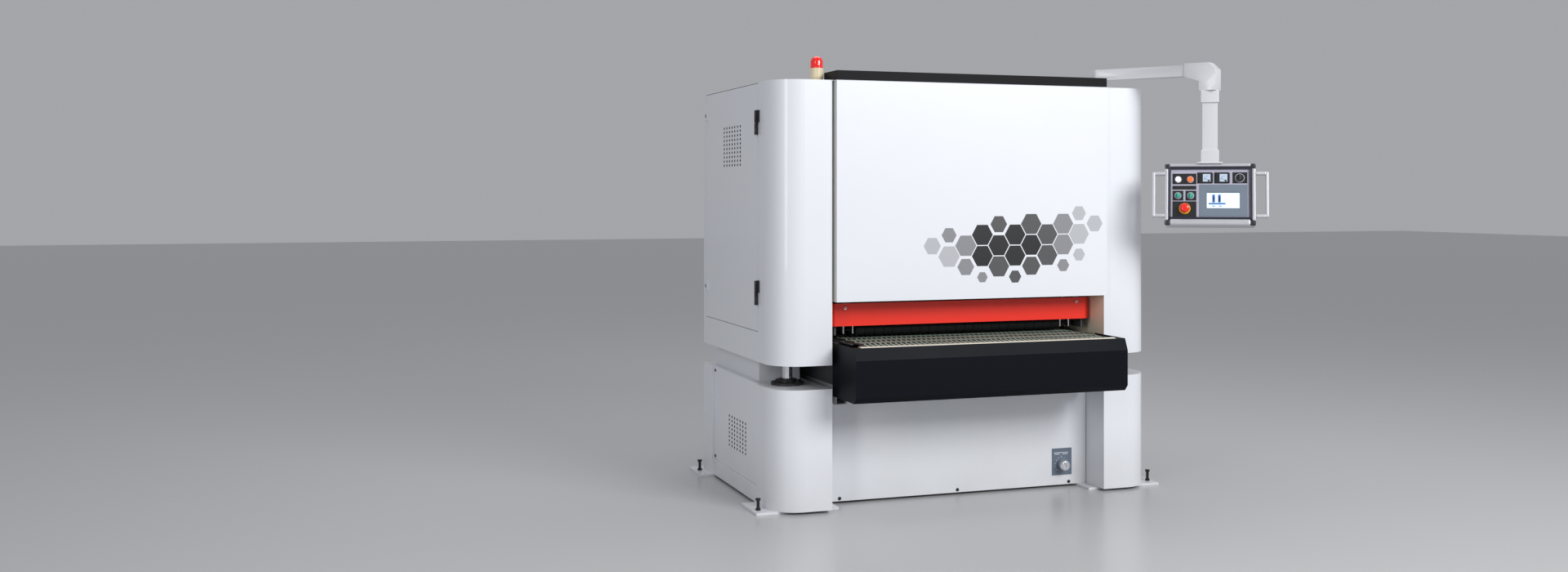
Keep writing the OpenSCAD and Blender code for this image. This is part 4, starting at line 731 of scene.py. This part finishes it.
# Hold-down rollers. Ring-grooved rubber on a shaft, in forks whose guide rods slide in fixed
# brackets and are pushed down by coil springs.
roller_rubber = rubbery("Hold-down roller rubber", (0.006, 0.0065, 0.007), (0.022, 0.024, 0.024),
                        worn=0.5, specular=0.15)
bright_steel = machined("Bright steel", (0.70, 0.71, 0.73), 0.16, 200.0, 200.0)
spring_steel = machined("Spring steel", (0.55, 0.55, 0.56), 0.2, 400.0, 400.0)
dress(roller_rubber, "front_press_roller", "rear_press_roller")
dress(bright_steel, "front_hangers", "rear_hangers")


def add_coil(mesh, centre, low, high, radius, wire_r, turns):
    """A round-wire compression spring."""
    sides, steps = 8, turns * 24
    rings = []
    for i in range(steps + 1):
        share = i / steps
        turn = math.tau * turns * share
        out = Vector((math.cos(turn), math.sin(turn), 0))
        rise = low + wire_r + (high - low - 2 * wire_r) * share
        at = Vector(centre) + out * radius + Vector((0, 0, rise))
        ring = []
        for k in range(sides):
            a = math.tau * k / sides
            ring.append(mesh.verts.new(at + out * wire_r * math.cos(a)
                                       + Vector((0, 0, wire_r * math.sin(a)))))
        rings.append(ring)
    join_rings(mesh, rings, smooth=True)
    mesh.faces.new(rings[0])
    mesh.faces.new(rings[-1][::-1])


WIRE_R, COIL_TURNS, TRAVEL = 0.002, 5, 0.010
for end in ("front", "rear"):
    low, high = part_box(f"{end}_springs")
    coil = bmesh.new()
    mid_y = (low.y + high.y) / 2
    radius = (high.y - low.y) / 2 - WIRE_R
    for side in (-1, 1):
        add_coil(coil, (side * (high.x - radius - WIRE_R), mid_y, 0), low.z, high.z, radius, WIRE_R,
                 COIL_TURNS)
    springs = new_piece(f"{end}_coil_springs", coil, spring_steel, "head")
    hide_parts(f"{end}_springs")
    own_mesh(springs)


# Side doors. Folded pans in white with black two-knuckle hinges at the front edge and turn
# latches at the back edge.
dress(white_coat, "door_left", "door_right")
hinge_black = powder_coated("Black hinge", (0.014, 0.014, 0.016), gloss=0.3)
latch_dark = powder_coated("Latch eye", (0.05, 0.052, 0.055), gloss=0.3)
HINGE_R, HINGE_H, HINGE_GAP, PIN_R, PIN_LIP = 0.0085, 0.124, 0.0003, 0.0045, 0.0002
PIN_X, HINGE_Z, DOOR_EDGE, LEAF = 1.063, (0.995, 1.838), -0.365, 0.024
LEAF_LOW, LEAF_HIGH = 1.0521, 1.0600
LATCH_X, LATCH_Y, LATCH_Z, LATCH_R = 1.062, 0.549, (1.037, 1.980), 0.0105
for name, side, body in (("left", -1, "door_left_body"), ("right", 1, "door_right_body")):
    fixed, swung, eyes, door_shade_plugs, filter_shade_mat = (bmesh.new() for _ in range(5))
    for z in HINGE_Z:
        pin = Matrix.Translation((side * PIN_X, DOOR_EDGE - 0.0015, z))
        lower, upper = HINGE_H / 2 - HINGE_GAP, HINGE_H / 2 + HINGE_GAP
        add_lathe(swung, [(0, -PIN_LIP), (HINGE_R * 0.8, -PIN_LIP), (HINGE_R, 0.002),
                          (HINGE_R, lower), (0, lower)], pin, 24)
        add_lathe(fixed, [(PIN_R, upper), (HINGE_R, upper), (HINGE_R, HINGE_H - 0.002),
                          (HINGE_R * 0.8, HINGE_H + PIN_LIP), (PIN_R, HINGE_H + PIN_LIP)], pin, 24)
        add_block(swung, *on_side(side, (LEAF_LOW, DOOR_EDGE + 0.002, z),
                                  (LEAF_HIGH, DOOR_EDGE + LEAF, z + lower)), 0.001)
        add_block(fixed, *on_side(side, (LEAF_LOW, DOOR_EDGE - LEAF - 0.003, z + upper),
                                  (LEAF_HIGH, DOOR_EDGE - 0.005, z + HINGE_H)), 0.001)
    for z in LATCH_Z:
        at = (Matrix.Translation((side * LATCH_X, LATCH_Y, z))
              @ Matrix.Rotation(side * math.pi / 2, 4, "Y"))
        add_lathe(eyes, [(0, 0), (LATCH_R, 0), (LATCH_R, 0.0006), (0.009, 0.001), (0, 0.001)],
                  at, 28)
        add_block(eyes, (-0.0022, -0.0075, 0.001), (0.0022, 0.0075, 0.002), 0.0005, at)
    # Plugs and filter mat of the door vents: near-black, painted shade of the holes.
    add_shade_plugs(door_shade_plugs, side, *DOOR_VENTS)
    add_block(filter_shade_mat, *on_side(side, *DOOR_SHADE_MAT), 0.001)
    for piece, mesh, mat, on_body in (
            ("hinge_on_skin", fixed, hinge_black, "head"),
            ("hinge_on_door", swung, hinge_black, body), ("latch_eyes", eyes, latch_dark, body),
            ("door_vent_shade_plugs", door_shade_plugs, plug_painted_shade, body),
            ("door_filter_shade_mat", filter_shade_mat, fleece, body)):
        new_piece(f"{name}_{piece}", mesh, mat, on_body)


# Dust spigots and beacon on the roof. Galvanised tube with a riveted flange; a beige lamp base
# with a red moulded lens.
spangle = machined("Galvanised sheet", (0.55, 0.56, 0.58), 0.3, 60.0, 60.0, bump=0.1)
dress(spangle, "dust_ports")
beige = powder_coated("Beige lamp base", (0.72, 0.62, 0.42), dust=0.0, gloss=0.3, coat=0.0)
dress(beige, "beacon_base")
lens, _, lens_shader = finish_of("Red moulded lens", (0.80, 0.012, 0.006), roughness=0.08,
                                 coat=0.8)
lens_shader.inputs["Emission Color"].default_value = (0.8, 0.02, 0.01, 1)
lens_shader.inputs["Emission Strength"].default_value = 0.12
dome_low, dome_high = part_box("beacon_dome")
DOME_R = (dome_high.x - dome_low.x) / 2
SHOULDER = dome_high.z - dome_low.z - DOME_R


def dome_profile():
    """Straight skirt with a rim, then a half round top."""
    points = [(0, 0), (DOME_R * 0.97, 0), (DOME_R, 0.002), (DOME_R, 0.006), (DOME_R * 0.96, 0.008),
              (DOME_R * 0.96, SHOULDER)]
    for i in range(1, 13):
        turn = math.pi / 2 * i / 12
        points.append((DOME_R * 0.96 * math.cos(turn), SHOULDER + DOME_R * math.sin(turn)))
    return points


dome_place = Matrix.Translation(((dome_low.x + dome_high.x) / 2, (dome_low.y + dome_high.y) / 2,
                                 dome_low.z))
dome = turned("beacon_lens", dome_profile(), dome_place, lens, "head", 64)
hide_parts("beacon_dome")


# Swing arm and drop tube. Painted aluminium box tube with rounded edges and a chamfered elbow
# casting; each coupling is held by grub screws.
arm_coat = powder_coated("White arm paint", (0.66, 0.67, 0.70), gloss=0.25, coat=0.3)


def softened(name, node, mat, body, bevel):
    """A copy of a CAD node with its sharp edges rounded, as castings and tubes have."""
    mesh = bmesh.new()
    mesh.from_mesh(nodes[node].data)
    bmesh.ops.remove_doubles(mesh, verts=mesh.verts, dist=1e-6)
    bmesh.ops.dissolve_limit(mesh, angle_limit=0.01, verts=mesh.verts, edges=mesh.edges)
    made = new_piece(name, mesh, mat, body)
    for face in made.data.polygons:
        face.material_index = 0
        face.use_smooth = True
    rounding = made.modifiers.new("Rounding", "BEVEL")
    rounding.width = bevel
    rounding.segments = 3
    rounding.limit_method = "ANGLE"
    rounding.angle_limit = math.radians(30)
    rounding.harden_normals = True
    rounding.use_clamp_overlap = True
    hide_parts(node)
    return made


softened("arm_with_elbow", "swing_arm", arm_coat, "swing_arm_body", 0.007)
softened("drop_tube_with_couplings", "drop_tube", arm_coat, "pendant", 0.007)


# Operator panel. Extruded aluminium frame with black corner caps and grab handles, round a
# printed face plate with lamps, meters, selectors, a stop button and a touch screen.
joint_of = {j["name"]: j for j in frame["joints"]}
swivel = Vector(joint_of["pendant_swivel"]["pos_m"])
YAW, TILT, PANEL_Z = math.radians(-35.6), math.radians(10), 1.534
at_panel = (Matrix.Translation((swivel.x, swivel.y, PANEL_Z)) @ Matrix.Rotation(YAW, 4, "Z")
            @ Matrix.Rotation(-TILT, 4, "X"))
PANEL_W, PANEL_H, PANEL_D, BAR_T = 0.440, 0.315, 0.125, 0.020
FACE_W, FACE_H, FACE_RISE = 0.391, 0.253, 0.009
FRONT_Y = -PANEL_D / 2
FACE_Y = FRONT_Y + BAR_T - 0.008
aluminium = machined("Anodised aluminium", (0.56, 0.57, 0.60), 0.34, 4.0, 90.0, bump=0.0,
                     metallic=0.55)
dress(aluminium, "pendant_box")
caps_black = powder_coated("Black corner plastic", (0.018, 0.02, 0.028), gloss=0.3)
gasket_dark = powder_coated("Dark gasket", (0.012, 0.014, 0.03), gloss=0.35)
handle_metal = machined("Handle aluminium", (0.60, 0.61, 0.64), 0.36, 4.0, 60.0, bump=0.0,
                        metallic=0.45)
CAP_R, CAP_LAP = 0.024, 0.004
inner_top, inner_low = FACE_RISE + FACE_H / 2, FACE_RISE - FACE_H / 2


def panel_frame_bars():
    """Four extruded bars with a rounded outer edge and a groove along the front."""
    mesh = bmesh.new()
    inner_x, gap = FACE_W / 2, 0.007
    bar_x, bar_z, back = PANEL_W / 2 - CAP_R, PANEL_H / 2 - CAP_R, FRONT_Y + BAR_T
    for side in (-1, 1):
        add_block(mesh, *on_side(side, (inner_x + gap, FRONT_Y, -bar_z),
                                 (PANEL_W / 2, back, bar_z)), 0.006, at_panel, 4)
    add_block(mesh, (-bar_x, FRONT_Y, inner_top + gap), (bar_x, back, PANEL_H / 2), 0.005,
              at_panel, 4)
    add_block(mesh, (-bar_x, FRONT_Y, -PANEL_H / 2), (bar_x, back, inner_low - gap), 0.010,
              at_panel, 4)
    return mesh


def corner_caps():
    """Rounded black plastic corners that close the ends of the bars."""
    mesh = bmesh.new()
    for side in (-1, 1):
        for up in (-1, 1):
            z = sorted((up * (PANEL_H / 2 - CAP_R - CAP_LAP), up * (PANEL_H / 2)))
            add_block(mesh, *on_side(side, (PANEL_W / 2 - CAP_R - CAP_LAP, FRONT_Y, z[0]),
                                     (PANEL_W / 2, FRONT_Y + BAR_T, z[1])), 0.008, at_panel, 4)
    return mesh


def grab_handles():
    """Two handles: a round-edged grip with a foot at each end."""
    mesh = bmesh.new()
    out, tall, thick, deep = 0.046, 0.232, 0.016, 0.034
    for side in (-1, 1):
        grip_x = PANEL_W / 2 + out
        add_block(mesh, *on_side(side, (grip_x, FRONT_Y, -tall / 2),
                                 (grip_x + thick, FRONT_Y + deep, tall / 2)), 0.0065, at_panel, 4)
        for z in (-tall / 2, tall / 2 - thick):
            add_block(mesh, *on_side(side, (PANEL_W / 2 - 0.0005, FRONT_Y + 0.001, z),
                                     (grip_x + 0.004, FRONT_Y + deep - 0.001, z + thick)), 0.005,
                      at_panel, 3)
    return mesh


bars = new_piece("frame_bars", panel_frame_bars(), aluminium, "pendant")
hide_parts("pendant_frame")
new_piece("frame_corner_caps", corner_caps(), caps_black, "pendant")
new_piece("grab_handles", grab_handles(), handle_metal, "pendant")
gasket = bmesh.new()
GASKET, LIP_SIDE, LIP_END = 0.0075, 0.006, 0.003
edge = FACE_W / 2
seal_x, lip_x, lip_top, lip_low = (edge + GASKET, edge - LIP_SIDE, inner_top - 2 * LIP_END,
                                   inner_low + LIP_END)
# Four strips in the gap between face plate and bars, then four lips over the plate's edges
for back, bevel, blocks in (
        (FRONT_Y + BAR_T - 0.001, 0.001,
         ((-seal_x, inner_top, seal_x, inner_top + GASKET),
          (-seal_x, inner_low - GASKET, seal_x, inner_low),
          (-seal_x, inner_low, -edge, inner_top), (edge, inner_low, seal_x, inner_top))),
        (FACE_Y - 0.0002, 0.0008,
         ((-edge, lip_top, edge, inner_top), (-edge, inner_low, edge, lip_low),
          (-edge, lip_low, -lip_x, lip_top), (lip_x, lip_low, edge, lip_top)))):
    for x0, z0, x1, z1 in blocks:
        add_block(gasket, (x0, FRONT_Y + 0.003, z0), (x1, back, z1), bevel, at_panel)
new_piece("frame_gasket", gasket, gasket_dark, "pendant")


# Printed face: silver-lilac plate with black cells round each control, all flush prints.
lilac = powder_coated("Lilac face plate", (0.50, 0.49, 0.60), dust=0.0, gloss=0.35, coat=0.0,
                      bump=0.03, metallic=0.3)
cell_black = powder_coated("Black cell print", (0.008, 0.008, 0.010), gloss=0.35)
dress(lilac, "face_plate")
PRINT_T = 0.0006
# Black cells of the print: middle in X and Z, width and height
CELLS = ((-0.1235, 0.081, 0.117, 0.055), (-0.124, 0.036, 0.117, 0.020),
         (-0.155, -0.005, 0.053, 0.051), (-0.092, -0.005, 0.053, 0.051),
         (-0.1235, -0.074, 0.117, 0.080), (-0.026, 0.086, 0.071, 0.057),
         (0.056, 0.086, 0.071, 0.057), (0.144, 0.086, 0.071, 0.057))
METER_X = (-0.019, 0.062)
cells = bmesh.new()
for x, z, w, h in CELLS:
    add_block(cells, (x - w / 2, FACE_Y - PRINT_T, z - h / 2),
              (x + w / 2, FACE_Y + 0.0002, z + h / 2), 0.0003, at_panel, 1)
METER_FRONT = FACE_Y - 0.006
for x in METER_X:
    add_block(cells, (x - 0.0335, METER_FRONT - PRINT_T, 0.0595),
              (x + 0.0335, FACE_Y + 0.0002, 0.1105), 0.0003, at_panel, 1)
new_piece("cell_prints", cells, cell_black, "pendant")


# Meters: black square housings with pale scales and needles behind glass.
meter_blue = powder_coated("Meter scale", (0.55, 0.66, 0.82), gloss=0.15, coat=0.8)
scales, needles = bmesh.new(), bmesh.new()
for x in METER_X:
    add_block(scales, (x - 0.015, METER_FRONT - 0.0012, 0.0660), (x + 0.022, METER_FRONT, 0.1050),
              0.0004, at_panel, 1)
    for i in range(9):
        spin = (at_panel @ Matrix.Translation((x + 0.012, METER_FRONT - 0.0012, 0.072))
                @ Matrix.Rotation(math.radians(-95 - 10 * i), 4, "Y"))
        add_block(needles, (0.021, -0.0003, -0.0005), (0.025, 0.0001, 0.0005), place=spin)
    spin = (at_panel @ Matrix.Translation((x + 0.014, METER_FRONT - 0.0014, 0.071))
            @ Matrix.Rotation(math.radians(-150), 4, "Y"))
    add_block(needles, (0, -0.0003, -0.0007), (0.024, 0.0001, 0.0007), place=spin)
    add_lathe(needles, [(0, 0.002), (0.004, 0.0015), (0.005, 0)], at_panel @ Matrix.Translation(
        (x + 0.014, METER_FRONT - 0.0012, 0.071)) @ Matrix.Rotation(math.pi / 2, 4, "X"), 20)
new_piece("meter_scales", scales, meter_blue, "pendant")
new_piece("meter_needles", needles, cell_black, "pendant")


# Lamps, selectors and the stop button: moulded plastic heads in turned collars.
def plastic(name, color, roughness=0.2, glow=0.0, coat=0.3, bump=0.02):
    mat, tree, shader = finish_of(name, color, roughness=roughness, coat=coat)
    lay_on(tree, shader, POWDER, bump=bump, Paint=(*color, 1), Dust=0.0, Gloss=roughness)
    shader.inputs["Emission Color"].default_value = (*color, 1)
    shader.inputs["Emission Strength"].default_value = glow
    return mat


def facing(x, z, y):
    """Stands a turned piece on the face at x and z, with its axis out of the panel."""
    return at_panel @ Matrix.Translation((x, y, z)) @ Matrix.Rotation(math.pi / 2, 4, "X")


COLLAR_Y = FACE_Y - 0.003
lamp_white = plastic("White lamp lens", (0.92, 0.92, 0.94), glow=0.5)
lamp_orange = plastic("Orange lamp lens", (0.95, 0.14, 0.02), glow=0.6)
BUTTON_R = 0.013
lens_form = [(0, -0.015), (0.0128, -0.015), (BUTTON_R, 0.0), (BUTTON_R, 0.009), (0.0115, 0.0112),
             (0.007, 0.0118), (0, 0.012)]
for name, x, mat, slot_name in (("lamp_button", -0.154, lamp_white, "white_lens"),
                                ("start_button", -0.095, lamp_orange, "orange_lens")):
    made = turned(f"{name}_lens", lens_form, facing(x, 0.078, COLLAR_Y), mat, f"{name}_body")
    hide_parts(name)

teal = plastic("Teal selector", (0.05, 0.40, 0.30))
switch_black = plastic("Black switch", (0.02, 0.02, 0.022), 0.3)


def selector_mesh(radius, place):
    """A round head with a raised, tapered grip across it."""
    mesh = bmesh.new()
    add_lathe(mesh, [(0, 0.0004), (radius * 0.98, 0.0004), (radius, 0.0015),
                     (radius * 0.95, 0.0033), (0, 0.0033)], place, 36)
    add_block(mesh, (-0.0042, -radius * 0.9, 0.0030), (0.0042, radius * 0.9, 0.0145), 0.0022,
              place, 3)
    return mesh


for name, x, z, radius, mat, slot_name in (
        ("mode_selector", -0.155, -0.005, 0.014, teal, "teal_plastic"),
        ("feed_selector", -0.093, -0.005, 0.014, teal, "teal_plastic"),
        ("main_switch", 0.144, 0.085, 0.020, switch_black, "black_plastic")):
    made = crease(new_piece(f"{name}_grip", selector_mesh(radius, facing(x, z, COLLAR_Y)), mat,
                            f"{name}_body"))
    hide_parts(name)

stop_yellow = plastic("Yellow stop ring", (0.90, 0.55, 0.02))
stop_red = plastic("Red mushroom", (0.85, 0.02, 0.015))
STOP_X, STOP_Z, STOP_R = -0.122, -0.071, 0.024
ring_form = [(0.0262, 0), (0.028, 0.0002), (0.028, 0.003), (0.027, 0.0042), (0.0135, 0.0042),
             (0.0135, 0)]
turned("stop_yellow_ring", ring_form, facing(STOP_X, STOP_Z, FACE_Y - 0.0001), stop_yellow,
       "pendant", 56)
mushroom = [(0, 0), (0.009, 0), (0.019, 0.004), (STOP_R, 0.009), (STOP_R, 0.015), (0.0225, 0.0195),
            (0.018, 0.0235), (0.011, 0.0255), (0, 0.026)]
stop = turned("stop_mushroom", mushroom, facing(STOP_X, STOP_Z, COLLAR_Y - 0.0043), stop_red,
              "stop_button_body", 56)
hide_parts("stop_button")


# Touch screen. A grey-blue bezel round a lit screen that shows plain blocks.
bezel_coat = powder_coated("Bezel plastic", (0.17, 0.21, 0.27), gloss=0.4)
dress(bezel_coat, "touch_screen")


def lit(name, color, strength):
    return plastic(name, color, 0.12, strength, coat=0.0, bump=0.0)


SCREEN_Y = FRONT_Y + BAR_T - 0.004 - 0.006 + 0.002
SCREEN_X, SCREEN_Z, SCREEN_W, SCREEN_H = 0.064, -0.030, 0.158, 0.077
screen_glow = lit("Lit screen", (0.74, 0.88, 0.96), 0.30)
screen_blue = lit("Screen blue", (0.05, 0.16, 0.48), 0.15)
screen_ink = lit("Screen dark", (0.03, 0.05, 0.12), 0.0)
glass = bmesh.new()
add_block(glass, (SCREEN_X - SCREEN_W / 2, SCREEN_Y - 0.0012, SCREEN_Z - SCREEN_H / 2),
          (SCREEN_X + SCREEN_W / 2, SCREEN_Y, SCREEN_Z + SCREEN_H / 2), 0.0002, at_panel, 1)
new_piece("screen_panel", glass, screen_glow, "pendant")
blue, ink = bmesh.new(), bmesh.new()
for mesh, x, z, w, h in ((blue, -0.030, -0.016, 0.080, 0.008), (blue, -0.046, 0.010, 0.013, 0.040),
                         (blue, -0.018, 0.010, 0.013, 0.040), (ink, -0.046, 0.008, 0.009, 0.026),
                         (ink, -0.018, 0.008, 0.009, 0.026), (ink, 0.012, 0.006, 0.003, 0.003),
                         (ink, 0.012, -0.006, 0.003, 0.003), (ink, 0.012, -0.018, 0.003, 0.003),
                         (blue, -0.046, -0.028, 0.014, 0.004),
                         (blue, -0.014, -0.028, 0.014, 0.004)):
    add_block(mesh, (SCREEN_X + x - w / 2, SCREEN_Y - 0.0015, SCREEN_Z + z - h / 2),
              (SCREEN_X + x + w / 2, SCREEN_Y - 0.0010, SCREEN_Z + z + h / 2), 0.0001, at_panel, 1)
new_piece("screen_blocks", blue, screen_blue, "pendant")
new_piece("screen_marks", ink, screen_ink, "pendant")


# Studio: a pale floor with a soft sheen, large soft lights, and the camera of the photograph.
floor_mesh = bmesh.new()
bmesh.ops.create_grid(floor_mesh, x_segments=1, y_segments=1, size=40.0)
floor = from_mesh("studio_floor", floor_mesh,
                  finish_of("Polished pale floor", (0.50, 0.50, 0.51), roughness=0.28)[0])
floor.location.z = -0.0005

world = bpy.data.worlds.new("Studio")
bpy.context.scene.world = world
world.use_nodes = True
world.node_tree.nodes["Background"].inputs["Color"].default_value = (0.62, 0.63, 0.66, 1)
world.node_tree.nodes["Background"].inputs["Strength"].default_value = 0.60


def soft_light(name, at, target, size, power):
    lamp = bpy.data.lights.new(name, "AREA")
    lamp.shape = "RECTANGLE"
    lamp.size, lamp.size_y = size
    lamp.energy = power
    made = put_in_scene(name, lamp)
    made.location = at
    made.rotation_euler = (Vector(target) - Vector(at)).to_track_quat("-Z", "Y").to_euler()
    return made


soft_light("Key", (2.5, -7.0, 4.6), (0, -0.6, 1.1), (4.0, 3.0), 440)
soft_light("Left strip", (-5.5, -4.5, 2.6), (-0.9, -0.5, 1.2), (0.9, 3.6), 70)
soft_light("Top", (0, 1.0, 6.0), (0, 0, 0), (5.0, 4.0), 110)

camera_data = bpy.data.cameras.new("Photograph")
camera = put_in_scene("Photograph", camera_data)
camera.location = (-3.210, -7.036, 1.550)
camera.rotation_euler = (math.radians(90), 0, math.radians(-18.98))
camera_data.lens = 32.468
camera_data.shift_y = -0.0591
camera_data.clip_end = 100
bpy.context.scene.camera = camera
bpy.context.scene.view_settings.view_transform = "Standard"
